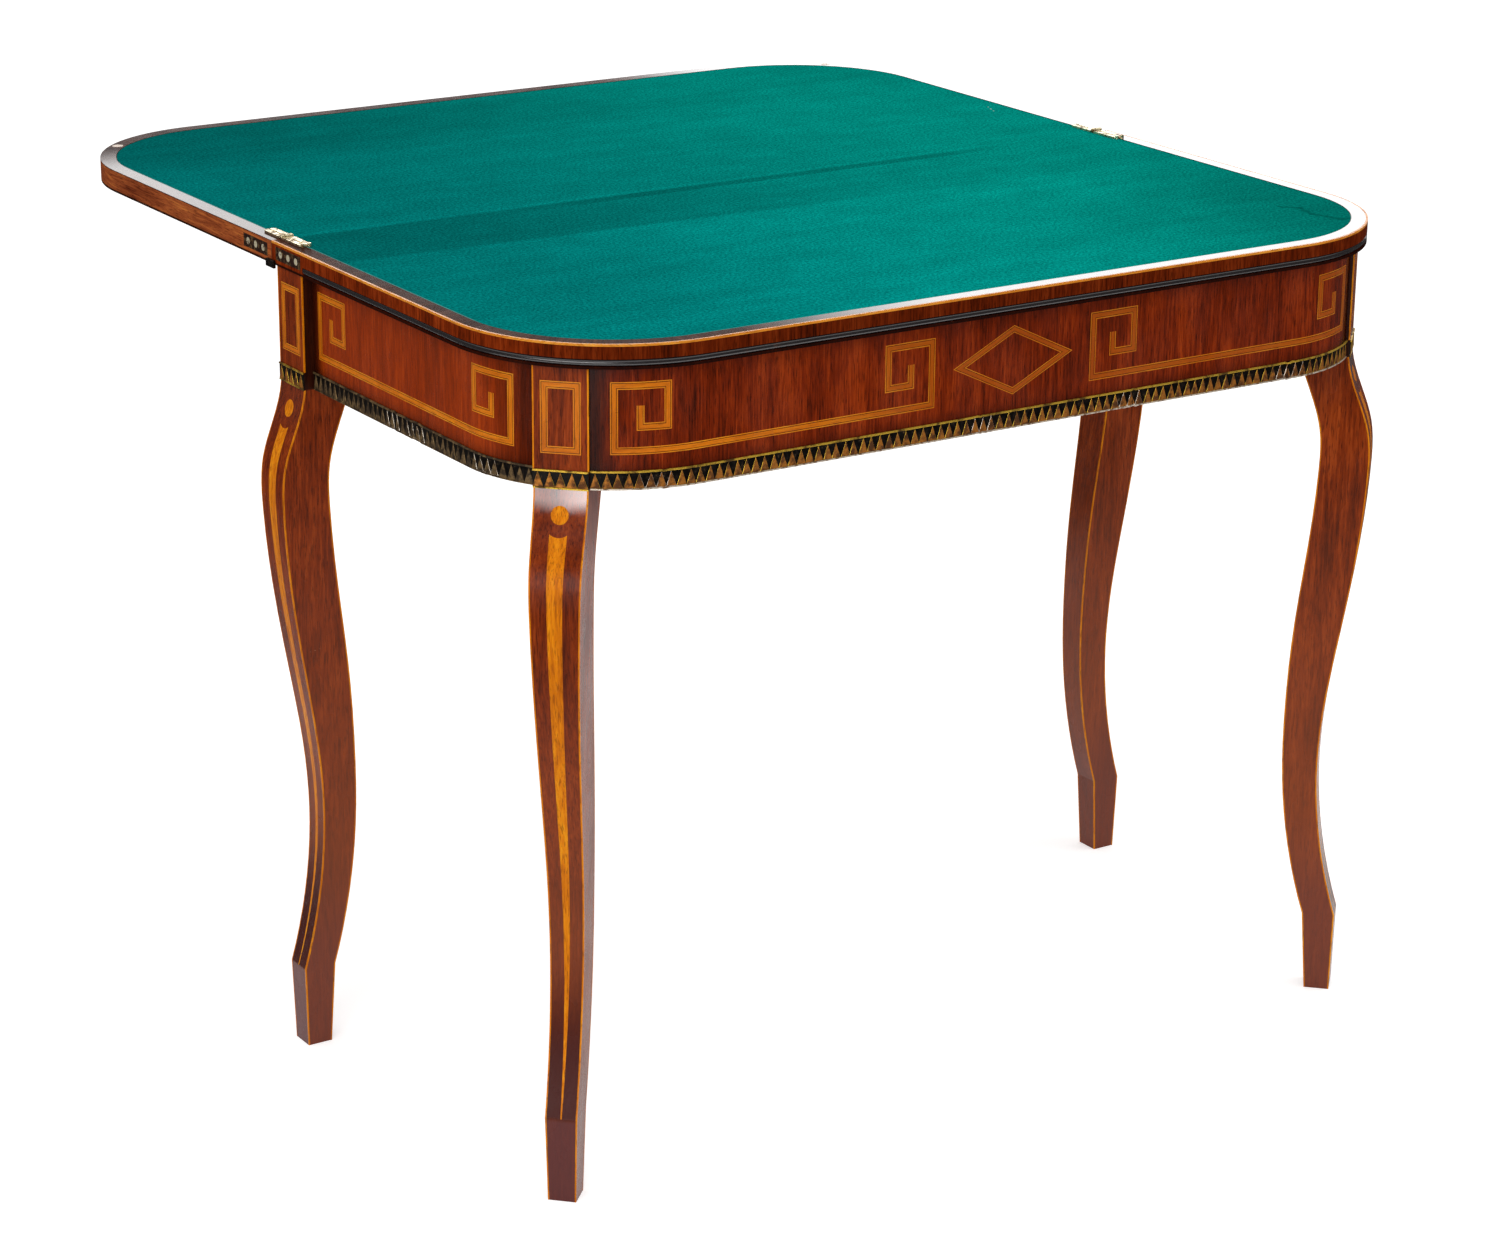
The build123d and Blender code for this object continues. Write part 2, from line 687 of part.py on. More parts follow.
with BuildPart() as middle_bearer:
    with BuildSketch(Plane.XY.offset(bearer_bottom)):
        with Locations((0, -(rail_inner_y + inner_rail_front) / 2)):
            Rectangle(bearer_width, bearer_length)
    extrude(amount=bearer_thickness)
    for seat in bearer_seats:
        screw(seat, *bearer_screw_sizes, mode=Mode.SUBTRACT)
middle_bearer.part.label = "middle_bearer"
export_step(middle_bearer.part, "parts/middle_bearer.step")

with BuildPart() as bearer_screws:
    for seat in bearer_seats:
        screw(seat, *bearer_screw_sizes)
        screw_slot(seat, bearer_screw_head_radius)
bearer_screws.part.label = "bearer_screws"
export_step(bearer_screws.part, "parts/bearer_screws.step")

# Upright blocks glued into the two rear corners of the frame
with BuildPart() as corner_blocks:
    for side in (-1, 1):
        x = side * rail_inner_x
        y = -inner_rail_front
        with BuildSketch(Plane.XY.offset(leaf_bottom)):
            with BuildLine():
                Polyline((x, y), (x - side * corner_block_size, y), (x, y - corner_block_size), close=True)
            make_face()
        extrude(amount=-corner_block_height)
corner_blocks.part.label = "corner_blocks"
export_step(corner_blocks.part, "parts/corner_blocks.step")

# Small blocks rubbed into the angle of the rails and the fixed leaf
side_span = corner_y - inner_rail_front - corner_block_size
glue_places = []
for side in (-1, 1):
    glue_places.append(((side * corner_x / 2, -rail_inner_y), (0, 1)))
    for third in (1, 2):
        glue_places.append(((side * rail_inner_x, -corner_y + third * side_span / 3), (-side, 0)))

with BuildPart() as glue_blocks:
    for (x, y), inward in glue_places:
        across = Plane(origin=(x, y, leaf_bottom), x_dir=(*inward, 0), z_dir=(inward[1], -inward[0], 0))
        with BuildSketch(across):
            with BuildLine():
                Polyline((0, 0), (glue_block_size, 0), (0, -glue_block_size), close=True)
            make_face()
        extrude(amount=glue_block_length / 2, both=True)
glue_blocks.part.label = "glue_blocks"
export_step(glue_blocks.part, "parts/glue_blocks.step")

# Fixed leaf
with BuildPart() as fixed_leaf:
    extrude(leaf_plan(leaf_bottom), amount=leaf_thickness)
    extrude(leaf_plan(table_height - baize_recess, rim_width, 0), amount=overrun, mode=Mode.SUBTRACT)
    extrude(edge_ring(table_height - stringing_size, -overrun, stringing_size, 0), amount=overrun,
            mode=Mode.SUBTRACT)
    extrude(edge_ring(bead_level - bead_radius, -overrun, bead_radius, rear_stile_front + bead_stop),
            amount=2 * bead_radius, mode=Mode.SUBTRACT)
    for side in (-1, 1):
        add(edge_plate(side, -1, overrun), mode=Mode.SUBTRACT)
        for seat in plate_screw_seats(side, -1):
            screw(seat, screw_head_radius, screw_head_depth, screw_shank_radius, screw_length,
                  mode=Mode.SUBTRACT)
    for seat in bearer_seats:
        screw(seat, *bearer_screw_sizes, mode=Mode.SUBTRACT)
fixed_leaf.part.label = "fixed_leaf"
export_step(fixed_leaf.part, "parts/fixed_leaf.step")

with BuildPart() as fixed_leaf_baize:
    extrude(leaf_plan(table_height - baize_recess, rim_width + baize_margin), amount=baize_thickness)
fixed_leaf_baize.part.label = "fixed_leaf_baize"
export_step(fixed_leaf_baize.part, "parts/fixed_leaf_baize.step")

with BuildPart() as fixed_leaf_stringing:
    extrude(edge_ring(table_height - stringing_size, 0, stringing_size), amount=stringing_size)
fixed_leaf_stringing.part.label = "fixed_leaf_stringing"
export_step(fixed_leaf_stringing.part, "parts/fixed_leaf_stringing.step")

# Black bead let into the lower edge of the fixed leaf, stopped before the rear stiles
with BuildPart() as leaf_bead:
    x = half_width - bead_radius
    y = leaf_depth - bead_radius
    start = rear_stile_front + bead_stop
    with BuildLine(Plane.XY.offset(bead_level)) as bead_path:
        left = Line((-x, -start), (-x, -corner_y))
        left_turn = RadiusArc(left @ 1, (-corner_x, -y), -(corner_radius - bead_radius))
        front = Line(left_turn @ 1, (corner_x, -y))
        right_turn = RadiusArc(front @ 1, (x, -corner_y), -(corner_radius - bead_radius))
        Line(right_turn @ 1, (x, -start))
    with BuildSketch(Plane.XZ.offset(start)) as bead_section:
        with Locations((-x, bead_level)):
            Circle(bead_radius)
            Rectangle(bead_radius, 2 * bead_radius, align=(Align.MIN, Align.CENTER), mode=Mode.SUBTRACT)
    sweep()
leaf_bead.part.label = "leaf_bead"
export_step(leaf_bead.part, "parts/leaf_bead.step")

# Fly leaf: the fixed leaf's outline turned over the fold line, with a plain edge
with BuildPart() as fly_leaf:
    mirror(extrude(leaf_plan(leaf_bottom), amount=leaf_thickness, mode=Mode.PRIVATE), about=Plane.XZ)
    mirror(extrude(leaf_plan(table_height - baize_recess, rim_width, 0), amount=overrun,
                   mode=Mode.PRIVATE), about=Plane.XZ, mode=Mode.SUBTRACT)
    for side in (-1, 1):
        add(edge_plate(side, 1, overrun), mode=Mode.SUBTRACT)
        for seat in plate_screw_seats(side, 1):
            screw(seat, screw_head_radius, screw_head_depth, screw_shank_radius, screw_length,
                  mode=Mode.SUBTRACT)
        add(rim_plug(side, overrun), mode=Mode.SUBTRACT)
fly_leaf.part.label = "fly_leaf"
export_step(fly_leaf.part, "parts/fly_leaf.step")

with BuildPart() as fly_leaf_baize:
    mirror(extrude(leaf_plan(table_height - baize_recess, rim_width + baize_margin),
                   amount=baize_thickness, mode=Mode.PRIVATE), about=Plane.XZ)
fly_leaf_baize.part.label = "fly_leaf_baize"
export_step(fly_leaf_baize.part, "parts/fly_leaf_baize.step")

# Hinges at the two ends of the fold
for side_name, side in (("left", -1), ("right", 1)):
    with BuildPart() as fixed_strap:
        add(strap(side, -1, fixed_strap_length, range(0, knuckle_count, 2)))
    fixed_strap.part.label = f"{side_name}_fixed_strap"
    export_step(fixed_strap.part, f"parts/{side_name}_fixed_strap.step")

    with BuildPart() as fly_strap:
        add(strap(side, 1, fly_strap_length, range(1, knuckle_count, 2)))
    fly_strap.part.label = f"{side_name}_fly_strap"
    export_step(fly_strap.part, f"parts/{side_name}_fly_strap.step")

    with BuildPart() as hinge_pin:
        with Locations((side * (half_width - strap_inset), 0, hinge_level)):
            Cylinder(hinge_pin_radius, strap_width + 2 * hinge_pin_overhang, rotation=(0, 90, 0))
        fillet(hinge_pin.edges().filter_by(GeomType.CIRCLE), hinge_pin_radius / 2)
    hinge_pin.part.label = f"{side_name}_hinge_pin"
    export_step(hinge_pin.part, f"parts/{side_name}_hinge_pin.step")

    for leaf_name, way in (("fixed", -1), ("fly", 1)):
        with BuildPart() as plate:
            add(edge_plate(side, way))
        plate.part.label = f"{side_name}_{leaf_name}_edge_plate"
        export_step(plate.part, f"parts/{side_name}_{leaf_name}_edge_plate.step")

for leaf_name, way in (("fixed", -1), ("fly", 1)):
    with BuildPart() as plate_screws:
        for side in (-1, 1):
            for seat in plate_screw_seats(side, way):
                screw(seat, screw_head_radius, screw_head_depth, screw_shank_radius, screw_length)
                screw_slot(seat, screw_head_radius)
    plate_screws.part.label = f"{leaf_name}_plate_screws"
    export_step(plate_screws.part, f"parts/{leaf_name}_plate_screws.step")

    with BuildPart() as stop_lugs:
        for side in (-1, 1):
            add(stop_lug(side, way))
    stop_lugs.part.label = f"{leaf_name}_stop_lugs"
    export_step(stop_lugs.part, f"parts/{leaf_name}_stop_lugs.step")

# Plugs in the rim
with BuildPart() as rim_plugs:
    for side in (-1, 1):
        add(rim_plug(side))
rim_plugs.part.label = "rim_plugs"
export_step(rim_plugs.part, "parts/rim_plugs.step")
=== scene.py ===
# %% [markdown]
# # Flip-top card table
# The solids come ready made and in their places: four curved legs, a frieze with rounded corners,
# two leaves on strap hinges, and a rear leg that swings out under the opened leaf. This lesson adds
# what a cabinet maker adds last, which is veneer, banding, brass, cloth and polish. Everything new
# is laid on a solid that is already there, so nothing has to be fitted by eye.

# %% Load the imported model
from math import copysign, cos, floor, pi, radians, sin

import bmesh
import bpy
from mathutils import Matrix, Vector


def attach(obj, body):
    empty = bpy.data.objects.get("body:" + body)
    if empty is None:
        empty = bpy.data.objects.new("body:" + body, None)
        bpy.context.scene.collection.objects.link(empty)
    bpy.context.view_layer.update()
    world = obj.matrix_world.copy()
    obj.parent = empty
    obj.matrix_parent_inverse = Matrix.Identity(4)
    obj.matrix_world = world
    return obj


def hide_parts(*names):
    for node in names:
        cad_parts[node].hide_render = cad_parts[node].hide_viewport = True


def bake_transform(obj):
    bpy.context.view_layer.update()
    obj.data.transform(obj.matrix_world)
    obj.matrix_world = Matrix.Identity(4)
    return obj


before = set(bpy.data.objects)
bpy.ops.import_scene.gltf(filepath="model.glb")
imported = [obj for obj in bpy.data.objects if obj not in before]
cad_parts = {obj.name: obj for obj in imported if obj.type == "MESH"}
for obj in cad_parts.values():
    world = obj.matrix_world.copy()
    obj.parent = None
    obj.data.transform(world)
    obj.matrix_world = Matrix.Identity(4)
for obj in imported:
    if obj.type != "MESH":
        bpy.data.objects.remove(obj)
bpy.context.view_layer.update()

# %% [markdown]
# ## Where the camera stands
# The picture was taken from the front left, a little above the top, with a long lens. A camera
# could be moved about until the picture looks right, but it is easier to say how far it is turned,
# how steeply it looks down, how it tilts, which point it aims at and how far off it stands.

# %% Set up the camera
turned, looking_down, tilted = radians(-32.999), radians(18.935), radians(0.475)
aim = Vector((-0.07556, -0.18055, 0.380))
distance = 3.64408
picture_width, focal_length_in_pixels = 1500, 3928.35

scene = bpy.context.scene
scene.view_settings.view_transform = "Standard"
lens = bpy.data.cameras.new("photo_camera")
lens.sensor_width = 36.0
lens.lens = focal_length_in_pixels * lens.sensor_width / picture_width
camera = bpy.data.objects.new("photo_camera", lens)
scene.collection.objects.link(camera)
stand = (Matrix.Rotation(turned, 4, "Z") @ Matrix.Rotation(pi / 2 - looking_down, 4, "X")
         @ Matrix.Rotation(tilted, 4, "Z"))
from_aim = stand.to_3x3() @ Vector((0, 0, distance))
camera.matrix_world = Matrix.Translation(aim + from_aim) @ stand
scene.camera = camera
print("camera at", [round(c, 3) for c in camera.matrix_world.translation],
      "lens", round(lens.lens, 2))

# %% [markdown]
# ## Helpers for finishes
# Every finish is a small graph of shader nodes. Writing each node by hand takes four lines, so a
# few helpers keep the recipes readable: one puts a node down and feeds it, the next do arithmetic,
# and the rest turn values into colours and back.

# %% Nodes and arithmetic
def feed(tree, socket, value):
    """Links an output to a socket, or writes a plain value into it."""
    if isinstance(value, bpy.types.NodeSocket):
        tree.links.new(value, socket)
    elif socket.type == "RGBA":
        socket.default_value = (*value[:3], 1.0)
    else:
        socket.default_value = value


def feed_all(tree, node, **sockets):
    """Feeds several sockets of a node; spaces in their names are written as underscores."""
    for name, value in sockets.items():
        feed(tree, node.inputs[name.replace("_", " ")], value)


def put(tree, kind, settings=(), **sockets):
    """Puts down a shader node with its settings and feeds its sockets."""
    made = tree.nodes.new("ShaderNode" + kind)
    for name, value in dict(settings).items():
        setattr(made, name, value)
    feed_all(tree, made, **sockets)
    return made


def calc(tree, operation, *values):
    """One step of arithmetic."""
    made = put(tree, "Math", {"operation": operation})
    for socket, value in zip(made.inputs, values):
        feed(tree, socket, value)
    return made.outputs[0]


def chained(operation):
    """A helper that works through any number of values with one operation."""
    def work(tree, result, *values):
        for value in values:
            result = calc(tree, operation, result, value)
        return result
    return work


steps = ("MULTIPLY", "ADD", "SUBTRACT", "MAXIMUM", "MINIMUM")
times, plus, minus, larger, smaller = (chained(step) for step in steps)


def unsigned(tree, value):
    """The value without its sign."""
    return calc(tree, "ABSOLUTE", value)


print("steps of arithmetic:", ", ".join(steps))

# %% Values and colours
def fade(tree, value, low, high, first=0.0, last=1.0):
    """Runs smoothly from first to last while the value goes from low to high."""
    made = put(tree, "MapRange", {"interpolation_type": "SMOOTHSTEP"}, Value=value,
               From_Min=low, From_Max=high, To_Min=first, To_Max=last)
    return made.outputs["Result"]


def ramp(tree, value, *stops):
    """Colour that follows a value through the given (place, colour) stops."""
    made = put(tree, "ValToRGB", Fac=value)
    places = made.color_ramp.elements
    while len(places) < len(stops):
        places.new(0.5)
    for place, (position, colour) in zip(places, stops):
        place.position = position
        place.color = (*colour, 1.0)
    return made.outputs["Color"]


def mixed(tree, share, first, second, how="MIX"):
    """Mixes two colours."""
    made = put(tree, "Mix", {"data_type": "RGBA", "blend_type": how})
    for index, value in ((0, share), (6, first), (7, second)):
        feed(tree, made.inputs[index], value)
    return made.outputs[2]


def sums(tree, vector):
    """The three parts of a vector."""
    parts = put(tree, "SeparateXYZ", Vector=vector)
    return parts.outputs["X"], parts.outputs["Y"], parts.outputs["Z"]


def joined(tree, x, y, z):
    """A vector from three values."""
    return put(tree, "CombineXYZ", X=x, Y=y, Z=z).outputs[0]


def grey(tree, value):
    """A grey as bright as the value."""
    return joined(tree, value, value, value)


def read(tree, kind="Object"):
    """Where a point lies on its object, or which way its face looks when asked for the Normal."""
    return put(tree, "TexCoord").outputs[kind]


def paint(red, green, blue):
    """A colour read off a picture in 0 to 255, as the linear numbers that a shader wants."""
    parts = (red / 255, green / 255, blue / 255)
    return tuple(c / 12.92 if c <= 0.04045 else ((c + 0.055) / 1.055) ** 2.4 for c in parts)


print("mid brown in linear light:", [round(c, 3) for c in paint(109, 32, 4)])

# %% [markdown]
# ## Studio
# The table stands on a pale floor before a white background, in soft even light. The background is
# white only where the camera looks at it, and the object itself is lit at a plain level, so that a
# colour renders as it is written. Polish mirrors the rest of the room, and it decides how deep the
# colours look. Upright faces mirror the floor: white paper near the feet, a dark room further off,
# and one more pale sheet far out at the front left. Rims mirror a very bright wall behind the
# table, knees a window at the front left, and both have a dark strip above them before the ceiling
# starts.

# %% Finish and object helpers
def new_finish(name):
    """A new material and its node tree, with the Principled shader ready."""
    finish = bpy.data.materials.new(name)
    finish.use_nodes = True
    return finish, finish.node_tree, finish.node_tree.nodes["Principled BSDF"]


def seen_directly(tree):
    """1 for rays from the camera, from mirrors and through glass, else 0."""
    path = put(tree, "LightPath")
    return larger(tree, *(path.outputs[f"Is {kind} Ray"]
                          for kind in ("Camera", "Glossy", "Transmission")))


def chosen(tree, share, first, second):
    """Mixes two shaders."""
    made = tree.nodes.new("ShaderNodeMixShader")
    for socket, value in zip(made.inputs, (share, first, second)):
        tree.links.new(value, socket)
    return made.outputs[0]


def as_object(name, bm, *finishes):
    """Turns a bmesh into an object of the scene, with its finishes."""
    mesh = bpy.data.meshes.new(name)
    bm.to_mesh(mesh)
    bm.free()
    for finish in finishes:
        mesh.materials.append(finish)
    made = bpy.data.objects.new(name, mesh)
    scene.collection.objects.link(made)
    return made


print("view transform:", scene.view_settings.view_transform)

# %% Floor
floor_finish, tree, shader = new_finish("pale_floor")
feed_all(tree, shader, Base_Color=(0.80, 0.80, 0.80), Roughness=1.0, Specular_IOR_Level=0.0,
         Emission_Color=(1, 1, 1), Emission_Strength=times(tree, seen_directly(tree), 0.52))
spot = read(tree)
right, back, _ = sums(tree, spot)
away = put(tree, "VectorMath", {"operation": "LENGTH"}, Vector=spot).outputs["Value"]
far_sheet = times(tree, fade(tree, right, -2.5, -1.5, 1.0, 0.0),
                  fade(tree, back, -1.8, -0.8, 1.0, 0.0))
dim = times(tree, fade(tree, away, 1.1, 1.7, 0.0, 0.96), minus(tree, 1.0, far_sheet))
own_shade = times(tree, fade(tree, right, -0.80, -0.55, 1.0, 0.0), fade(tree, back, 0.0, 0.3))
dim = larger(tree, dim, times(tree, own_shade, 0.9))
in_a_mirror = times(tree, put(tree, "LightPath").outputs["Is Glossy Ray"], dim)
dark_room = put(tree, "BsdfDiffuse", Color=(0.02, 0.02, 0.02))
tree.links.new(chosen(tree, in_a_mirror, shader.outputs[0], dark_room.outputs[0]),
               tree.nodes["Material Output"].inputs["Surface"])
bm = bmesh.new()
bmesh.ops.create_grid(bm, x_segments=1, y_segments=1, size=9.0)
studio_floor = as_object("studio_floor", bm, floor_finish)
print("floor:", tuple(round(d, 1) for d in studio_floor.dimensions[:2]), "m")

# %% World
world = bpy.data.worlds.new("studio")
world.use_nodes = True
scene.world = world
tree = world.node_tree
tree.nodes.clear()
to_right, to_back, rise = sums(tree, read(tree, "Generated"))
heading = calc(tree, "ARCTAN2", to_right, to_back)


def bright_patch(middle, half_width, low, high, strength):
    """A bright part of the room round a heading, which ends upwards between two elevations.

    Headings are counted in degrees from the back of the table to its right.
    """
    off = unsigned(tree, minus(tree, heading, radians(middle)))
    near = fade(tree, off, radians(half_width), radians(half_width + 8), 1.0, 0.0)
    return times(tree, near, fade(tree, rise, sin(radians(low)), sin(radians(high)), strength, 0.0))


back_wall = bright_patch(33, 24, 16, 18, 3.2)
window = bright_patch(-123, 20, 3, 17, 5.0)
ceiling = fade(tree, rise, sin(radians(20)), sin(radians(34)), 0.06, 0.9)
mirrored = larger(tree, ceiling, back_wall, window)
path = put(tree, "LightPath")
soft = put(tree, "Background", Color=(1.0, 0.99, 0.98), Strength=0.80)
glossy = put(tree, "Background", Color=(1, 1, 1), Strength=mirrored)
white = put(tree, "Background", Color=(1, 1, 1), Strength=1.0)
lit = chosen(tree, path.outputs["Is Glossy Ray"], soft.outputs[0], glossy.outputs[0])
direct = larger(tree, path.outputs["Is Camera Ray"], path.outputs["Is Transmission Ray"])
out = tree.nodes.new("ShaderNodeOutputWorld")
tree.links.new(chosen(tree, direct, lit, white.outputs[0]), out.inputs["Surface"])
print("world nodes:", len(tree.nodes))

# %% Lamps
def soft_box(name, place, size, power):
    """A square soft box that faces the middle of the table and hides itself from view."""
    data = bpy.data.lights.new(name, "AREA")
    data.shape, data.size, data.energy = "SQUARE", size, power
    lamp = bpy.data.objects.new(name, data)
    scene.collection.objects.link(lamp)
    turn = (Vector((0, 0, 0.5)) - Vector(place)).to_track_quat("-Z", "Y")
    lamp.matrix_world = Matrix.Translation(place) @ turn.to_matrix().to_4x4()
    lamp.visible_camera = False
    lamp.visible_glossy = False


soft_box("lamp_left", (-2.6, -2.4, 2.6), 1.8, 42)
soft_box("lamp_right", (2.8, -1.6, 2.2), 1.8, 14)
soft_box("lamp_high", (0.3, 1.2, 3.4), 2.2, 10)

# %% [markdown]
# ## Wood
# All the wood here is one recipe with different numbers. Real veneer shows three things at once: a
# broad cloudy figure, fibres a few tenths of a millimetre wide that run a long way, and short dark
# pores. Each is noise that is stretched along the grain. A wood picture could be wrapped round each
# part, but noise in space has no seams and keeps its scale on every piece.

# %% Grain recipe
def stretched(tree, spot, across, along):
    """Coordinates for noise: a scale across the grain and one along it. The grain runs along Z."""
    return put(tree, "Mapping", {"vector_type": "POINT"}, Vector=spot,
               Scale=(across, across, along)).outputs[0]


def noise(tree, spot, detail=2.0, roughness=0.55):
    """Plain noise with one bump in each unit of the coordinates."""
    made = put(tree, "TexNoise", Vector=spot, Scale=1.0, Detail=detail, Roughness=roughness)
    return made.outputs["Fac"]


def veneer(tree, spot, dark, middle, light, fibre=520.0, depth=1.0):
    """Colour of polished wood, and a height for its pores."""
    cloud = noise(tree, stretched(tree, spot, 22.0, 9.0), 4.0, 0.6)
    lines = noise(tree, stretched(tree, spot, fibre, 26.0), 3.0, 0.65)
    bands = noise(tree, stretched(tree, spot, fibre / 5, 9.0), 3.0, 0.6)
    figure = plus(tree, times(tree, cloud, 0.32), times(tree, lines, 0.42),
                  times(tree, bands, 0.26))
    spread = 0.13 / depth
    colour = ramp(tree, figure, (0.5 - spread, dark), (0.5, middle), (0.5 + spread, light))
    pores = fade(tree, noise(tree, stretched(tree, spot, fibre * 2.2, 75.0), 2.0), 0.54, 0.66)
    colour = mixed(tree, times(tree, pores, 0.6 * depth), colour, tuple(0.35 * c for c in dark))
    return colour, minus(tree, times(tree, lines, 0.4), pores)


def relief(tree, shader, height, strength, deep):
    """Fine relief in the finish: how strong it is, and how deep in metres."""
    bump = put(tree, "Bump", Height=height, Strength=strength, Distance=deep)
    feed_all(tree, shader, Normal=bump.outputs[0])


def polish(tree, shader, height, rough, uneven=0.08, shine=0.2, deep=0.00006):
    """Polish over wood: a roughness that wanders, and the pores as fine relief."""
    patches = noise(tree, stretched(tree, read(tree), 28.0, 14.0), 3.0)
    feed_all(tree, shader, Specular_IOR_Level=shine,
             Roughness=fade(tree, patches, 0.3, 0.7, rough - uneven, rough + uneven))
    relief(tree, shader, height, 0.6, deep)


print("one recipe for all the wood")

# %% Fine marks
def on_line(tree, u, v, start, end, half_width):
    """1 on a short straight line between two points of the plane (u, v), else 0."""
    run, climb = end[0] - start[0], end[1] - start[1]
    off_u, off_v = minus(tree, u, start[0]), minus(tree, v, start[1])
    gone = plus(tree, times(tree, off_u, run), times(tree, off_v, climb))
    gone = fade(tree, gone, 0.0, run * run + climb * climb)
    off_u = minus(tree, off_u, times(tree, gone, run))
    off_v = minus(tree, off_v, times(tree, gone, climb))
    gap = calc(tree, "SQRT", plus(tree, times(tree, off_u, off_u), times(tree, off_v, off_v)))
    return fade(tree, gap, 0.5 * half_width, half_width, 1.0, 0.0)


print("a mark is a line between two points, with soft sides")

# %% [markdown]
# ## Frieze and leg wood
# The frieze is veneered with upright grain, glossy and reddish brown. Next to the corner stiles it
# is painted darker, nearly black at the front. This is partly old polish, darkened where a cloth
# never quite reaches, and partly painted shade in the corner where the stile stands proud. The
# stiles' narrow sides get a painted shade that is nearly black, the frieze is darker towards its
# foot, and a painted shadow darkens the gap beside each rear stile. The shade is worked out from
# the distance to the stile, so it follows the curve of the frieze. A few short scratches are drawn
# as lines between two points. Faces turned to the inside of the frame are bare wood, found by
# comparing each face with the way out.

# %% Frieze veneer
corner_x, corner_y = 0.315, 0.335
frieze_radius, frieze_foot = 0.138, 0.635
slanted = 2 ** -0.5

frieze_wood, tree, shader = new_finish("frieze_veneer")
spot = read(tree)
x, y, z = sums(tree, spot)
colour, height = veneer(tree, spot, paint(58, 14, 2), paint(112, 32, 2), paint(150, 54, 8))
# Painted light: the side faces of the frieze are painted lighter and more orange than the front.
on_side_face = fade(tree, unsigned(tree, x), 0.42, 0.452)
colour = mixed(tree, times(tree, on_side_face, 0.35), colour, paint(136, 46, 2))
colour = mixed(tree, on_side_face, colour, (1.35, 1.40, 0.9), "MULTIPLY")
# Painted shade, together with darkened old polish: the frieze goes darker towards each stile,
# nearly black in front.
past_stile = times(tree, plus(tree, minus(tree, unsigned(tree, x), corner_x),
                              plus(tree, y, corner_y)), -slanted)
front_dark = fade(tree, past_stile, 0.014, 0.040)
side_dark = fade(tree, times(tree, past_stile, -1.0), 0.028, 0.085, 0.42, 1.0)
in_front = fade(tree, past_stile, -0.010, 0.010)
keep = mixed(tree, in_front, grey(tree, side_dark), grey(tree, front_dark))
keep = mixed(tree, 1.0, keep, (0.16, 0.16, 0.18), "LIGHTEN")
# Darker towards the foot of the frieze, and a painted shadow, nearly black, in the gap beside each
# rear stile.
darker_foot_and_gap_shade = times(tree, fade(tree, z, frieze_foot + 0.015, frieze_foot + 0.027, 0.6, 1.0),
                 fade(tree, y, -0.078, -0.056, 1.0, 0.12))
keep = mixed(tree, 1.0, keep, grey(tree, darker_foot_and_gap_shade), "MULTIPLY")
colour = mixed(tree, 1.0, colour, keep, "MULTIPLY")
print("frieze nodes so far:", len(tree.nodes))

# %% Scratches, and bare wood inside the frame
side_marks = (((-0.2245, 0.7325), (-0.2235, 0.714), 0.0004),
              ((-0.2195, 0.729), (-0.2200, 0.722), 0.0003))
front_mark = ((0.332, 0.7355), (0.3325, 0.724), 0.0003)
marks = larger(tree, *(on_line(tree, y, z, *mark) for mark in side_marks))
marks = larger(tree, times(tree, marks, calc(tree, "LESS_THAN", x, -0.4)),
               times(tree, on_line(tree, x, z, *front_mark), calc(tree, "LESS_THAN", y, -0.3)))
colour = mixed(tree, times(tree, marks, 0.55), colour, paint(176, 112, 60))

past_x = larger(tree, minus(tree, unsigned(tree, x), corner_x), 0.0)
past_y = larger(tree, minus(tree, times(tree, y, -1.0), corner_y), 0.0)
outward = joined(tree, times(tree, past_x, calc(tree, "SIGN", x)), times(tree, past_y, -1.0), 0.0)
facing_out = put(tree, "VectorMath", {"operation": "DOT_PRODUCT"}, Vector=read(tree, "Normal"))
feed(tree, facing_out.inputs[1], outward)
inside = fade(tree, facing_out.outputs["Value"], -0.05, -0.02, 1.0, 0.0)
raw_wood, _ = veneer(tree, joined(tree, z, y, x), paint(104, 74, 48), paint(138, 104, 68),
                     paint(160, 126, 86))
feed_all(tree, shader, Base_Color=mixed(tree, inside, colour, raw_wood))
polish(tree, shader, height, 0.22)
print("frieze nodes:", len(tree.nodes))

# %% [markdown]
# ## The four legs
# The legs are the same wood. Towards the feet they are painted paler: a painted reflection of the
# pale floor, along with some wear. Their sides turn greyer at the very foot, also a painted
# reflection. Their outer faces darken towards the ankle, and below it a painted reflection makes
# them dull and bluish. Above the frieze's foot the stiles' narrow sides get a painted shade that is
# nearly black. Just under the frieze the outer faces still have a glassy lacquer, which is a coat
# layer over the polish. The rear legs look sideways and the front ones look out at 45 degrees, so
# each face is compared with its own leg's way out.

# %% Leg wood
ankle = 0.077

leg_wood, tree, shader = new_finish("leg_wood")
spot = read(tree)
x, y, z = sums(tree, spot)
colour, height = veneer(tree, spot, paint(76, 24, 4), paint(124, 44, 6), paint(158, 66, 18), 430.0)
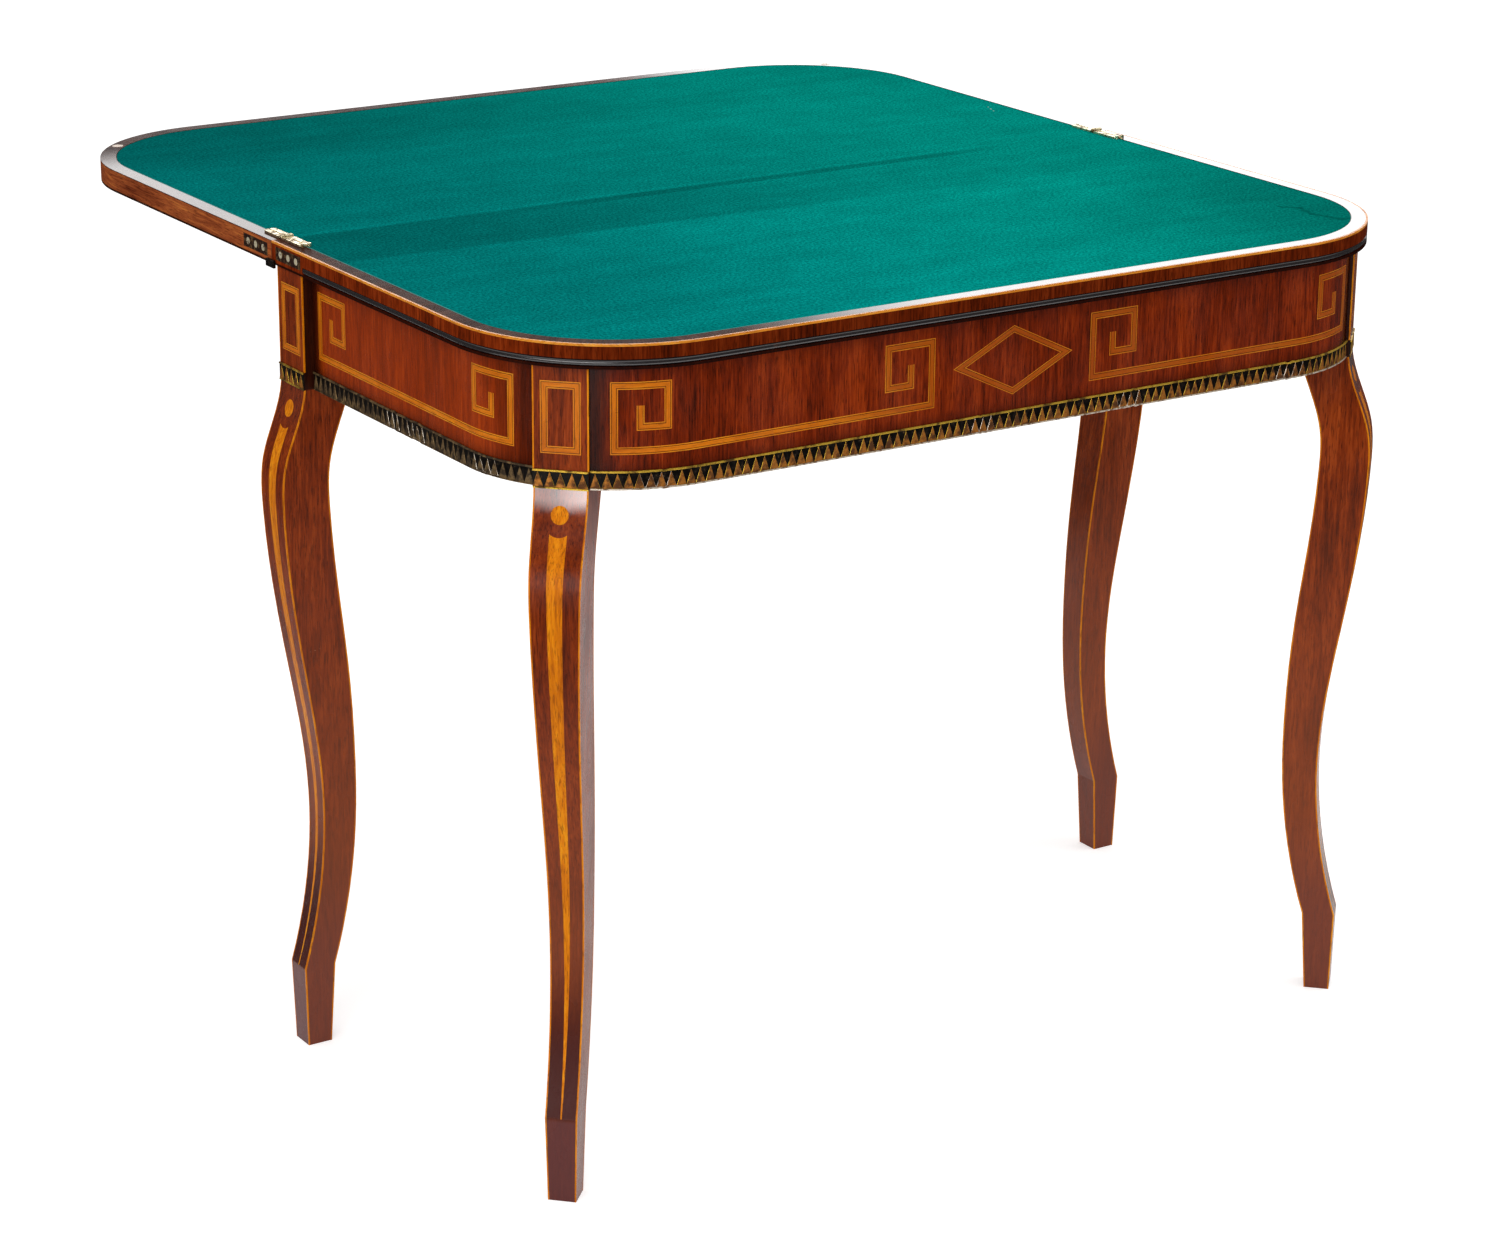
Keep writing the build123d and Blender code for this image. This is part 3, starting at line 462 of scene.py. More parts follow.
# Painted reflection of the pale floor, with some wear: paler towards the feet.
floor_sheen_and_wear = fade(tree, z, 0.10, 0.58, 1.0, 0.0)
colour = mixed(tree, times(tree, floor_sheen_and_wear, 0.55), colour, paint(138, 76, 48))
looks_right, looks_back, _ = sums(tree, read(tree, "Normal"))
front_leg = calc(tree, "LESS_THAN", y, -0.2)
way_out = times(tree, calc(tree, "SIGN", x),
                minus(tree, 1.0, times(tree, front_leg, 1 - slanted)))
facing = plus(tree, times(tree, looks_right, way_out),
              times(tree, looks_back, times(tree, front_leg, -slanted)))
# Painted reflection: greyer sides at the very foot, and dull bluish outer faces below the ankle.
side_foot_sheen = times(tree, fade(tree, facing, 0.3, 0.8, 1.0, 0.0),
                  fade(tree, z, ankle - 0.001, 0.20, 0.4, 0.0))
colour = mixed(tree, side_foot_sheen, colour, paint(94, 56, 56))
front_foot_sheen = times(tree, fade(tree, facing, 0.3, 0.8),
                   fade(tree, z, ankle - 0.003, ankle + 0.003, 0.65, 0.0))
colour = mixed(tree, front_foot_sheen, colour, paint(88, 54, 62))
# Painted shade: the stiles' narrow sides, above the frieze's foot, are painted nearly black.
stile_return_shade = times(tree, fade(tree, facing, 0.3, 0.6, 1.0, 0.0),
                     fade(tree, z, frieze_foot - 0.001, frieze_foot + 0.001))
colour = mixed(tree, times(tree, stile_return_shade, 0.88), colour, paint(14, 6, 5))
print("leg nodes so far:", len(tree.nodes))

# %% Outer faces of the legs
below_frieze = fade(tree, z, frieze_foot, frieze_foot + 0.001, 1.0, 0.0)
outer_face = times(tree, fade(tree, facing, 0.75, 0.95), below_frieze,
                   fade(tree, z, 0.13, 0.24, 0.95, 0.12),
                   fade(tree, z, ankle - 0.003, ankle + 0.003, 0.25, 1.0))
colour = mixed(tree, outer_face, colour, paint(60, 14, 9))
leg_mark = ((-0.4625, 0.3893), (-0.4530, 0.3905), 0.0004)
mark = times(tree, on_line(tree, x, z, *leg_mark), calc(tree, "GREATER_THAN", y, -0.1))
colour = mixed(tree, times(tree, mark, 0.6), colour, paint(190, 130, 100))
polish(tree, shader, height, 0.25, 0.06, shine=0.12)
along_face = times(tree, minus(tree, x, y), slanted)
glassy = times(tree, fade(tree, z, 0.580, 0.622), fade(tree, facing, 0.80, 0.92), below_frieze,
               fade(tree, along_face, -0.01, 0.03, 0.45, 1.0))
feed_all(tree, shader, Base_Color=colour, Coat_Weight=glassy, Coat_Roughness=0.07, Coat_IOR=2.1)
print("leg nodes:", len(tree.nodes))

# %% [markdown]
# ## Leaves
# The edges and the rim round the cloth are crossbanded: short pieces of veneer whose grain always
# points away from the middle of the table. Cutting a ring of faces with its own directions would
# work, but one formula does it for the whole leaf: the distance walked round the outline runs
# across the grain, and the distance in from the edge runs along it. On the edge of the opened leaf
# the two swap places, since its veneer runs along. The underside and the edges at the fold have
# plain long grain. The underside of the leaf that folds over is polished, because it becomes the
# table's top when closed. The rim is lacquered, which is a coat layer over the wood, and where
# hands and cards have dulled it the coat is thin.

# %% Grain that follows the outline
leaf_radius, leaf_foot = 0.150, 0.739


def crossband(tree, spot):
    """Coordinates that follow the outline of a leaf, with the grain along Z."""
    x, y, z = sums(tree, spot)
    wide, deep = unsigned(tree, x), unsigned(tree, y)
    past_x = larger(tree, minus(tree, wide, corner_x), 0.0)
    past_y = larger(tree, minus(tree, deep, corner_y), 0.0)
    round_corner = times(tree, calc(tree, "ARCTAN2", past_x, past_y), leaf_radius)
    straight = minus(tree, smaller(tree, wide, corner_x), smaller(tree, deep, corner_y))
    each_side_its_own = times(tree, calc(tree, "SIGN", x), 3.0)
    walked = plus(tree, straight, round_corner, each_side_its_own)
    inward = plus(tree, larger(tree, past_x, past_y), z)
    return joined(tree, walked, 0.0, inward)


print("outline: corners of", leaf_radius, "m")

# %% Leaf veneer
def leaf_finish(name, edge_tones, lacquered, outside=0.0, edge_along=False):
    """Veneer of one leaf: banded edge, a rim that is lacquered in part, long grain underneath."""
    finish, tree, shader = new_finish(name)
    spot = read(tree)
    x, y, z = sums(tree, spot)
    across = crossband(tree, spot)
    walked, _, inward = sums(tree, across)
    edge_spot = joined(tree, inward, 0.0, walked) if edge_along else across
    edge, height = veneer(tree, edge_spot, *edge_tones, fibre=460.0)
    # Painted light: the edge is painted lighter towards the left end of the leaf.
    edge = mixed(tree, fade(tree, x, -0.452, -0.40, 1.0, 0.0), edge, (1.5, 1.5, 1.4), "MULTIPLY")
    # Painted shade: the lowest two millimetres of the edge, under the bead, are painted nearly
    # black.
    shaded_low_lip = fade(tree, z, leaf_foot + 0.0018, leaf_foot + 0.0024, 0.9, 0.0)
    edge = mixed(tree, shaded_low_lip, edge, paint(16, 10, 9))
    top, _ = veneer(tree, across, paint(34, 18, 14), paint(62, 36, 28), paint(92, 58, 44), 460.0)
    plain, _ = veneer(tree, joined(tree, y, z, x), paint(70, 32, 20), paint(112, 58, 36),
                      paint(140, 80, 50))
    on_top = fade(tree, z, 0.7585, 0.7597)
    _, _, looks_up = sums(tree, read(tree, "Normal"))
    below = times(tree, fade(tree, looks_up, -0.9, -0.5, 1.0, 0.0),
                  fade(tree, z, leaf_foot + 0.002, leaf_foot + 0.006, 1.0, 0.0))
    below = larger(tree, below, fade(tree, unsigned(tree, y), 0.0005, 0.0010, 1.0, 0.0))
    colour = mixed(tree, below, mixed(tree, on_top, edge, top), plain)
    polish(tree, shader, height, 0.24, 0.05, 0.002)
    coat = larger(tree, times(tree, on_top, lacquered(tree, x, y)), times(tree, below, outside))
    feed_all(tree, shader, Base_Color=colour, Coat_Weight=coat, Coat_Roughness=0.04, Coat_IOR=1.5)
    return finish


def dull_at_left(tree, x, y):
    """The fixed leaf's rim has kept its lacquer except at the left."""
    return fade(tree, x, -0.30, -0.04)


def dull_at_back(tree, x, y):
    """The other leaf's rim has kept some of it at the left, none along the back."""
    return larger(tree, fade(tree, y, 0.33, 0.43, 0.55, 0.0), fade(tree, x, 0.15, 0.35))


fixed_leaf_wood = leaf_finish("fixed_leaf_veneer",
                              (paint(40, 10, 3), paint(88, 27, 5), paint(120, 46, 14)),
                              dull_at_left)
fly_leaf_wood = leaf_finish("fly_leaf_veneer",
                            (paint(74, 28, 14), paint(118, 58, 30), paint(154, 88, 42)),
                            dull_at_back, outside=0.12, edge_along=True)
print("leaf finishes:", fixed_leaf_wood.name, fly_leaf_wood.name)

# %% [markdown]
# ## Plain inner wood, black bead and plugs
# Rails, blocks and the bearer inside the frame are never seen from the room, and a maker leaves
# them off the saw and plane. They are paler, dry and dull, with grain along their length. The bead
# under the top is stained black and polished, with brown showing where the stain has rubbed off.
# Two pale plugs are let into the rim of the opened leaf.

# %% Carcase wood
def carcase_finish(name, order):
    """Dry wood with its grain along one of the axes: order puts that axis last."""
    finish, tree, shader = new_finish(name)
    parts = dict(zip("xyz", sums(tree, read(tree))))
    spot = joined(tree, *(parts[axis] for axis in order))
    colour, height = veneer(tree, spot, paint(104, 74, 46), paint(150, 112, 72),
                            paint(182, 146, 100))
    saw = noise(tree, stretched(tree, spot, 40.0, 300.0), 2.0)
    colour = mixed(tree, fade(tree, saw, 0.52, 0.66, 0.0, 0.25), colour, paint(86, 58, 36))
    feed_all(tree, shader, Base_Color=colour)
    polish(tree, shader, height, 0.75, 0.08, 0.15, 0.0002)
    return finish


long_carcase = carcase_finish("carcase_long_grain", "yzx")
upright_carcase = carcase_finish("carcase_upright_grain", "xyz")
deep_carcase = carcase_finish("carcase_deep_grain", "xzy")
print("carcase finishes:", [m.name for m in (long_carcase, upright_carcase, deep_carcase)])

# %% Black bead, pale plugs
def stained_finish(name, stain, rubbed, rough, amount, shine):
    """Stained wood, rubbed through in places."""
    finish, tree, shader = new_finish(name)
    patches = noise(tree, stretched(tree, read(tree), 90.0, 90.0), 4.0, 0.65)
    bare = fade(tree, patches, 0.60, 0.72, 0.0, amount)
    feed_all(tree, shader, Base_Color=mixed(tree, bare, stain, rubbed))
    polish(tree, shader, patches, rough, 0.06, shine, 0.0002)
    return finish


black_wood = stained_finish("black_bead", paint(30, 26, 27), paint(70, 40, 26), 0.20, 0.5, 1.0)
plug_wood = stained_finish("plug_wood", paint(176, 150, 124), paint(120, 84, 60), 0.30, 0.8, 0.2)
print("stained finishes:", black_wood.name, plug_wood.name)

# %% [markdown]
# ## Metal
# The hinges are old yellow brass, pale where hands rub it and brown in the hollows. The stops, the
# gate pin and the screws inside are dark iron. Both are metal shaders whose colour and roughness
# follow the same patches, since tarnish is duller as well as darker. Old gilding and dirty brass
# scatter light as well as mirror it, so those are only part metal.

# %% Brass and iron
def metal_finish(name, clean, tarnish, low, high, rough, speck=160.0, metal=1.0):
    """Metal with tarnish: patches between low and high of the noise go from tarnish to clean."""
    finish, tree, shader = new_finish(name)
    spot = read(tree)
    patches = noise(tree, stretched(tree, spot, speck, speck), 4.0, 0.6)
    feed_all(tree, shader, Metallic=metal,
             Base_Color=mixed(tree, fade(tree, patches, low, high), tarnish, clean),
             Roughness=fade(tree, patches, low, high, rough + 0.25, rough))
    relief(tree, shader, noise(tree, stretched(tree, spot, 900.0, 900.0), 3.0), 0.5, 0.00008)
    return finish


hinge_brass = metal_finish("hinge_brass", paint(240, 226, 186), paint(128, 94, 50),
                           0.34, 0.54, 0.28, metal=0.9)
plate_brass = metal_finish("plate_brass", paint(128, 98, 60), paint(50, 24, 14),
                           0.48, 0.66, 0.34, 240.0, 0.6)
screw_brass = metal_finish("screw_brass", paint(226, 216, 186), paint(96, 66, 42),
                           0.32, 0.48, 0.32, metal=0.5)
dark_iron = metal_finish("dark_iron", paint(64, 56, 50), paint(24, 18, 16), 0.40, 0.65, 0.42)
gilt = metal_finish("band_gilt", paint(186, 116, 40), paint(92, 54, 22),
                    0.38, 0.64, 0.44, 130.0, 0.6)
gilt_rail = metal_finish("rail_gilt", paint(226, 184, 62), paint(104, 76, 28),
                         0.36, 0.56, 0.36, 90.0, 0.7)
dull_gilt = metal_finish("dull_gilt", paint(142, 114, 74), paint(62, 48, 32),
                         0.40, 0.66, 0.40, 130.0, 0.6)
bare_brass = metal_finish("bare_brass", paint(236, 222, 204), paint(140, 110, 84),
                          0.36, 0.56, 0.34, 200.0, 0.6)
print("metals:", [m.name for m in bpy.data.materials if "brass" in m.name or "gilt" in m.name])

# %% Blackened ground of the brass band
blackened, tree, shader = new_finish("band_ground")
patches = noise(tree, stretched(tree, read(tree), 240.0, 240.0), 4.0, 0.7)
feed_all(tree, shader, Specular_IOR_Level=0.12,
         Base_Color=ramp(tree, patches, (0.45, paint(8, 6, 5)), (0.62, paint(20, 14, 10)),
                         (0.74, paint(96, 74, 42))),
         Roughness=fade(tree, patches, 0.4, 0.7, 0.28, 0.6))
print("ground nodes:", len(tree.nodes))

# %% [markdown]
# ## Inlay wood
# Lines and bands let into the frieze are three woods: a wide strip of orange satin-like wood, a
# thin dark line on each side of it and a thin pale line outside that. Their grain runs along the
# strip and turns with it at each mitre. Grain that follows a strip can't be read from space, so
# these pieces get a UV map whose first number is the distance along the strip. The front has
# darkened more than the sides, so the tone also follows the place.

# %% Strip finishes
def strip_finish(name, dark, middle, light, ticks=0.5, aged=0.7):
    """Wood of a thin strip: grain along it, small dark cracks across it, browner on the front."""
    finish, tree, shader = new_finish(name)
    along, across, _ = sums(tree, put(tree, "UVMap").outputs["UV"])
    colour, height = veneer(tree, joined(tree, across, 0.0, along), dark, middle, light, 700.0, 0.8)
    cracked = joined(tree, times(tree, across, 90.0), 0.0, times(tree, along, 420.0))
    cracks = noise(tree, cracked, 1.0)
    colour = mixed(tree, fade(tree, cracks, 0.70, 0.76, 0.0, ticks), colour, paint(60, 24, 8))
    x, y, _ = sums(tree, read(tree))
    toned = times(tree, fade(tree, x, -0.30, -0.05), calc(tree, "LESS_THAN", y, -0.42), aged)
    feed_all(tree, shader, Base_Color=mixed(tree, toned, colour, paint(136, 50, 2)))
    polish(tree, shader, height, 0.26, 0.06)
    return finish


orange_strip = strip_finish("orange_strip", paint(156, 72, 2), paint(202, 108, 5),
                            paint(226, 140, 16))
dark_line = strip_finish("dark_line", paint(30, 8, 2), paint(52, 14, 2), paint(84, 30, 4), 0.0, 0.0)
pale_line = strip_finish("pale_line", paint(176, 88, 4), paint(212, 124, 14), paint(232, 160, 44),
                         0.3, 0.35)
strip_finishes = (orange_strip, dark_line, pale_line)
print("strip finishes:", [m.name for m in strip_finishes])

# %% Leg inlay, and the line in the top's edge
def inlay_finish(name, lie, *tones):
    """Polished inlay: lie says which way its grain runs."""
    finish, tree, shader = new_finish(name)
    colour, height = veneer(tree, lie(tree), *tones)
    feed_all(tree, shader, Base_Color=colour)
    polish(tree, shader, height, 0.26, 0.06, 0.1)
    return finish


def round_the_outline(tree):
    """Grain along the outline of the leaf."""
    walked, _, inward = sums(tree, crossband(tree, read(tree)))
    return joined(tree, inward, 0.0, walked)


orange_inlay = inlay_finish("leg_inlay_wood", read, paint(170, 84, 2), paint(212, 120, 4),
                            paint(234, 154, 20), 380.0, 0.9)
top_line = inlay_finish("top_stringing", round_the_outline, paint(160, 84, 16),
                        paint(206, 126, 34), paint(228, 158, 60), 500.0, 0.8)
print("inlays:", orange_inlay.name, top_line.name)

# %% Dress the solids
def dress(finish, *names):
    """Gives CAD nodes their finish."""
    for name in names:
        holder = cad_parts[name]
        if not holder.material_slots:
            holder.data.materials.append(finish)
        for place in holder.material_slots:
            place.material = finish


dress(leg_wood, "front_left_leg", "front_right_leg", "rear_right_leg", "rear_left_leg")
dress(frieze_wood, "front_rail", "left_rail", "right_rail")
dress(fixed_leaf_wood, "fixed_leaf")
dress(fly_leaf_wood, "fly_leaf")
dress(long_carcase, "inner_back_rail", "outer_back_rail", "fly_rail")
dress(upright_carcase, "corner_blocks", "glue_blocks")
dress(deep_carcase, "middle_bearer")
dress(top_line, "fixed_leaf_stringing")
dress(black_wood, "leaf_bead")
dress(orange_inlay, "leg_inlays", "gate_leg_inlay")
dress(blackened, "front_band", "left_band", "right_band", "stile_bands", "gate_stile_band")
dress(hinge_brass, *(f"{side}_{part}" for side in ("left", "right")
                     for part in ("fixed_strap", "fly_strap", "hinge_pin")))
dress(plate_brass, *(f"{side}_{part}" for side in ("left", "right")
                     for part in ("fixed_edge_plate", "fly_edge_plate")))
dress(screw_brass, "fixed_plate_screws", "fly_plate_screws")
dress(dark_iron, "fixed_stop_lugs", "fly_stop_lugs", "gate_pin", "bearer_screws")
dress(plug_wood, "rim_plugs")
print("dressed solids:", sum(len(o.material_slots) > 0 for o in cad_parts.values()))

# %% [markdown]
# ## Working flat, then bending
# The frieze runs straight across the front and round the corners. Cutting key patterns on a curved
# face is hard, and a maker avoids it too: the banding is laid out flat and bent into place. Here
# each strip is drawn flat, with its run along X, its height along Z and its thickness along Y, and
# one function per face of the table says where a flat point lands. The four posts, each a stile
# with its leg, are listed by the place of the stile's face, the way it looks and its body.

# %% Faces of the table
def on_front(run, out, height):
    """Where a flat point lands on the front of the frieze."""
    reach = frieze_radius + out
    if abs(run) <= corner_x:
        return Vector((run, -corner_y - reach, height))
    turn = (abs(run) - corner_x) / frieze_radius
    return Vector((copysign(corner_x + reach * sin(turn), run), -corner_y - reach * cos(turn),
                   height))


def on_side(side):
    """Where a flat point lands on a side of the frieze; the run is measured from the fold."""
    def place(run, out, height):
        reach = frieze_radius + out
        if run <= corner_y:
            return Vector((side * (corner_x + reach), -run, height))
        turn = (run - corner_y) / frieze_radius
        return Vector((side * (corner_x + reach * cos(turn)), -corner_y - reach * sin(turn),
                       height))
    return place


def on_stile(origin, outward):
    """Where a flat point lands on a stile's face; the run is measured from its middle."""
    def place(run, out, height):
        return Vector((origin[0] + out * outward[0] - run * outward[1],
                       origin[1] + out * outward[1] + run * outward[0], height))
    return place


def as_it_is(x, y, z):
    """Where a point lands that is already in its place."""
    return Vector((x, y, z))


front_post, rear_post = (0.42069, 0.42867), (0.463, 0.030)
posts = {
    "front_left": ((-front_post[0], -front_post[1]), (-slanted, -slanted), "frame"),
    "front_right": ((front_post[0], -front_post[1]), (slanted, -slanted), "frame"),
    "rear_right": ((rear_post[0], -rear_post[1]), (1, 0), "frame"),
    "rear_left": ((-rear_post[0], -rear_post[1]), (-1, 0), "gate"),
}
print("posts:", ", ".join(f"{name} on {body}" for name, (_, _, body) in posts.items()))

# %% Piece helpers
def those_in(made, kind):
    """The points, edges or faces among the parts that an operator made."""
    return [part for part in made if isinstance(part, kind)]


def pull_on(bm, edges):
    """Extrudes a row of edges in place: gives the new row, its edges and the faces between."""
    made = bmesh.ops.extrude_edge_only(bm, edges=edges)["geom"]
    row = those_in(made, bmesh.types.BMVert)
    edges = [e for e in those_in(made, bmesh.types.BMEdge) if all(v in row for v in e.verts)]
    return row, edges, those_in(made, bmesh.types.BMFace)


def cut_across(bm, places, axis=0):
    """Cuts everything square to an axis, so that it can bend there."""
    normal = [float(k == axis) for k in range(3)]
    for place in places:
        bmesh.ops.bisect_plane(bm, geom=bm.verts[:] + bm.edges[:] + bm.faces[:], dist=1e-6,
                               plane_co=[place * n for n in normal], plane_no=normal)


def finish_piece(name, bm, place, finishes, body, slot, *nodes):
    """Bends a flat bmesh onto the table and makes a piece of it."""
    for vert in bm.verts:
        vert.co = place(*vert.co)
    bmesh.ops.recalc_face_normals(bm, faces=bm.faces[:])
    piece = as_object(name, bm, *finishes)
    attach(piece, body)
    if nodes:
        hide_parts(*nodes)
    print(name, len(piece.data.polygons), "faces on", body)


bend_step = 0.005
front_bends, side_bends = 20, 17
front_cuts = [side * (corner_x + step * bend_step)
              for side in (-1, 1) for step in range(front_bends)]
side_cuts = [corner_y + step * bend_step for step in range(side_bends)]
print("cuts round the corners:", len(front_cuts), len(side_cuts))

# %% [markdown]
# ## Banding
# A key pattern is one strip of banding that turns at right angles, from the eye of one key, along
# the foot of the panel, to the eye of the other. The strip starts as a row of six points across its
# width. The row is extruded from corner to corner, and at each corner it lies on the mitre line,
# so the thin lines meet as neatly as sawn ones. Each point keeps its place across the strip in an
# attribute. The same helper makes the diamond and the stile frames.

# %% Strip helper
strip_lines = (-0.0032, -0.0023, -0.0018, 0.0018, 0.0023, 0.0032)
strip_order = (2, 1, 0, 1, 2)


def lay_strip(bm, corners, closed=False, share=1.0):
    """Extrudes a row of points along the corners of a path, mitred, as flat faces."""
    uv = bm.loops.layers.uv.verify()
    cross = bm.verts.layers.float.get("cross") or bm.verts.layers.float.new("cross")
    path = [Vector(c) for c in corners] + ([Vector(corners[0])] if closed else [])
    sides = [Vector((a.y - b.y, b.x - a.x)).normalized() for a, b in zip(path, path[1:])]
    befores = [sides[-1] if closed else sides[0]] + sides
    afters = sides + [sides[0] if closed else sides[-1]]
    walked = 0.0
    for number, (corner, before, after) in enumerate(zip(path, befores, afters)):
        mitre = (before + after) / (1 + before.dot(after))
        if number == 0:
            row, faces, stretch = [bm.verts.new() for _ in strip_lines], [], 0.0
            for vert, line in zip(row, strip_lines):
                vert[cross] = line * share
            edges = [bm.edges.new(pair) for pair in zip(row, row[1:])]
        else:
            row, edges, faces = pull_on(bm, edges)
            stretch = (corner - path[number - 1]).length
        walked += stretch
        for vert in row:
            spot = corner + mitre * vert[cross]
            vert.co = (spot.x, 0, spot.y)
        for face in faces:
            middle = sum(v[cross] for v in face.verts) / 4 / share
            face.material_index = strip_order[sum(middle > line for line in strip_lines[1:-1])]
            for loop in face.loops:
                back = 0.0 if loop.vert in row else stretch
                loop[uv].uv = (walked - back, loop.vert[cross])


def thicken(bm, proud=0.00008, depth=0.00095):
    """Merges seams and gives flat strips their thickness, inwards from just proud of the face."""
    bmesh.ops.remove_doubles(bm, verts=bm.verts[:], dist=1e-5)
    made = bmesh.ops.extrude_face_region(bm, geom=bm.faces[:])["geom"]
    moved = those_in(made, bmesh.types.BMVert)
    left = set(bm.verts) - set(moved)
    bmesh.ops.translate(bm, verts=moved, vec=(0, proud, 0))
    bmesh.ops.translate(bm, verts=list(left), vec=(0, -depth, 0))


print("strip of", len(strip_lines) - 1, "woods,", strip_lines[-1] * 2000, "mm wide")

# %% Key panels and the diamond
inlay_low, inlay_high = 0.6645, 0.7255
half_band = strip_lines[-1]
key_width, key_eye, key_foot, eye_top = 0.051, 0.0215, 0.6845, 0.7055
front_key_start, front_key_end = 0.082, 0.39196
side_key_start, side_key_end = 0.064, 0.39109
diamond_reach, diamond_low, diamond_high = 0.0564, 0.6677, 0.7223


def key_path(start, end):
    """Corners of the middle line of one panel, from the eye of one key to the eye of the other."""
    eye, tail = start + key_eye + half_band, start + key_width - half_band
    shelf, top = key_foot + half_band, inlay_high - half_band
    first = [(eye, eye_top), (eye, shelf), (tail, shelf), (tail, top), (start + half_band, top),
             (start + half_band, inlay_low + half_band)]
    return first + [(start + end - run, height) for run, height in reversed(first)]


diamond_middle = (diamond_low + diamond_high) / 2
diamond = [(-diamond_reach, diamond_middle), (0, diamond_low), (diamond_reach, diamond_middle),
           (0, diamond_high)]
bm = bmesh.new()
lay_strip(bm, key_path(-front_key_end, -front_key_start))
lay_strip(bm, key_path(front_key_start, front_key_end))
lay_strip(bm, diamond, closed=True, share=0.9)
cut_across(bm, front_cuts)
thicken(bm)
finish_piece("front_banding", bm, on_front, strip_finishes, "frame", "inlay_wood",
             "front_rail_inlay")

for side, name in ((-1, "left"), (1, "right")):
    bm = bmesh.new()
    lay_strip(bm, key_path(side_key_start, side_key_end))
    cut_across(bm, side_cuts)
    thicken(bm)
    finish_piece(name + "_banding", bm, on_side(side), strip_finishes, "frame", "inlay_wood",
                 name + "_rail_inlay")

# %% [markdown]
# ## Stile frames and edge lines
# Each stile carries an upright frame of the same banding, and a thin pale line down both of its
# edges. The lines are square strings glued into the corner of the wood. They are made as thin
# boxes, a box being a cube that is scaled and moved.

# %% Stile banding
string_proud = 0.0001
stile_half, line_width, line_low, line_high = 0.0235, 0.0012, 0.6512, 0.7388
panel_x, panel_low, panel_high = 0.0138, diamond_low, diamond_high
stile_panel = [(-panel_x, panel_low), (panel_x, panel_low), (panel_x, panel_high),
               (-panel_x, panel_high)]
stile_nodes = {"front_left": ("stile_inlays",), "rear_left": ("gate_stile_inlay",)}


def box_between(bm, low_corner, high_corner):
    """A box between two corners."""
    low_corner, high_corner = Vector(low_corner), Vector(high_corner)
    size = high_corner - low_corner
    place = Matrix.Translation((low_corner + high_corner) / 2) @ Matrix.Diagonal((*size, 1))
    return bmesh.ops.create_cube(bm, size=1.0, matrix=place)["verts"]


for name, (origin, outward, body) in posts.items():
    place = on_stile(origin, outward)
    bm = bmesh.new()
    lay_strip(bm, stile_panel, closed=True)
    thicken(bm)
    finish_piece(name + "_stile_frame", bm, place, strip_finishes, body, "inlay_wood",
                 *stile_nodes.get(name, ()))
    bm = bmesh.new()
    for side in (-1, 1):
        runs = sorted((side * (stile_half + string_proud), side * (stile_half - line_width)))
        box_between(bm, (runs[0], -line_width, line_low), (runs[1], string_proud, line_high))
    finish_piece(name + "_stile_lines", bm, place, [orange_inlay], body, "inlay_wood")

# %% [markdown]
# ## Strings down the legs
# A thin orange string follows every corner of each curved leg, down to the floor. Its path could be
# drawn again by hand, but the leg already has it: on a merged copy of the solid, the sharp upright
# edges away from the middle are exactly those corners. A small square is extruded down each.

# %% Corners of a leg
sharp_corner, inlay_reach = radians(50), 0.010


def sharp_chains(node, origin, outward):
    """Corner points of a leg, as one set for each of its two sides."""
    bm = bmesh.new()
    bm.from_mesh(node.data)
    bmesh.ops.remove_doubles(bm, verts=bm.verts[:], dist=1e-6)
    chains = {}
    for edge in bm.edges:
        if len(edge.link_faces) != 2 or edge.calc_face_angle(0) < sharp_corner:
            continue
        ends = [v.co for v in edge.verts]
        sideways = [(p.y - origin[1]) * outward[0] - (p.x - origin[0]) * outward[1] for p in ends]
        steep = abs(ends[0].z - ends[1].z) > 0.5 * (ends[0] - ends[1]).length
        in_the_middle = min(abs(s) for s in sideways) < inlay_reach
        if not steep or in_the_middle or max(p.z for p in ends) > frieze_foot + 0.0005:
            continue
        for p, s in zip(ends, sideways):
            chains.setdefault(s > 0, set()).add(tuple(round(c, 6) for c in p))
    bm.free()
    return chains


def split_line(points, outward):
    """Splits one side's corner points into its front line and its back line, walking down."""
    def reach(p):
        return p[0] * outward[0] + p[1] * outward[1]

    ordered = sorted(points, key=lambda p: -p[2])
    top = [p for p in ordered if p[2] > ordered[0][2] - 1e-4]
    front, back = [max(top, key=reach)], [min(top, key=reach)]
    for p in ordered:
        if p in (front[0], back[0]):
            continue
        line = min((front, back), key=lambda chain: abs(reach(chain[-1]) - reach(p)))
        if line[-1][2] - p[2] > 1e-5:
            line.append(p)
    return front, back


chains = sharp_chains(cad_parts["front_left_leg"], *posts["front_left"][:2])
print("corner points of one leg:", sum(len(points) for points in chains.values()))

# %% Leg strings
string_size = 0.0013

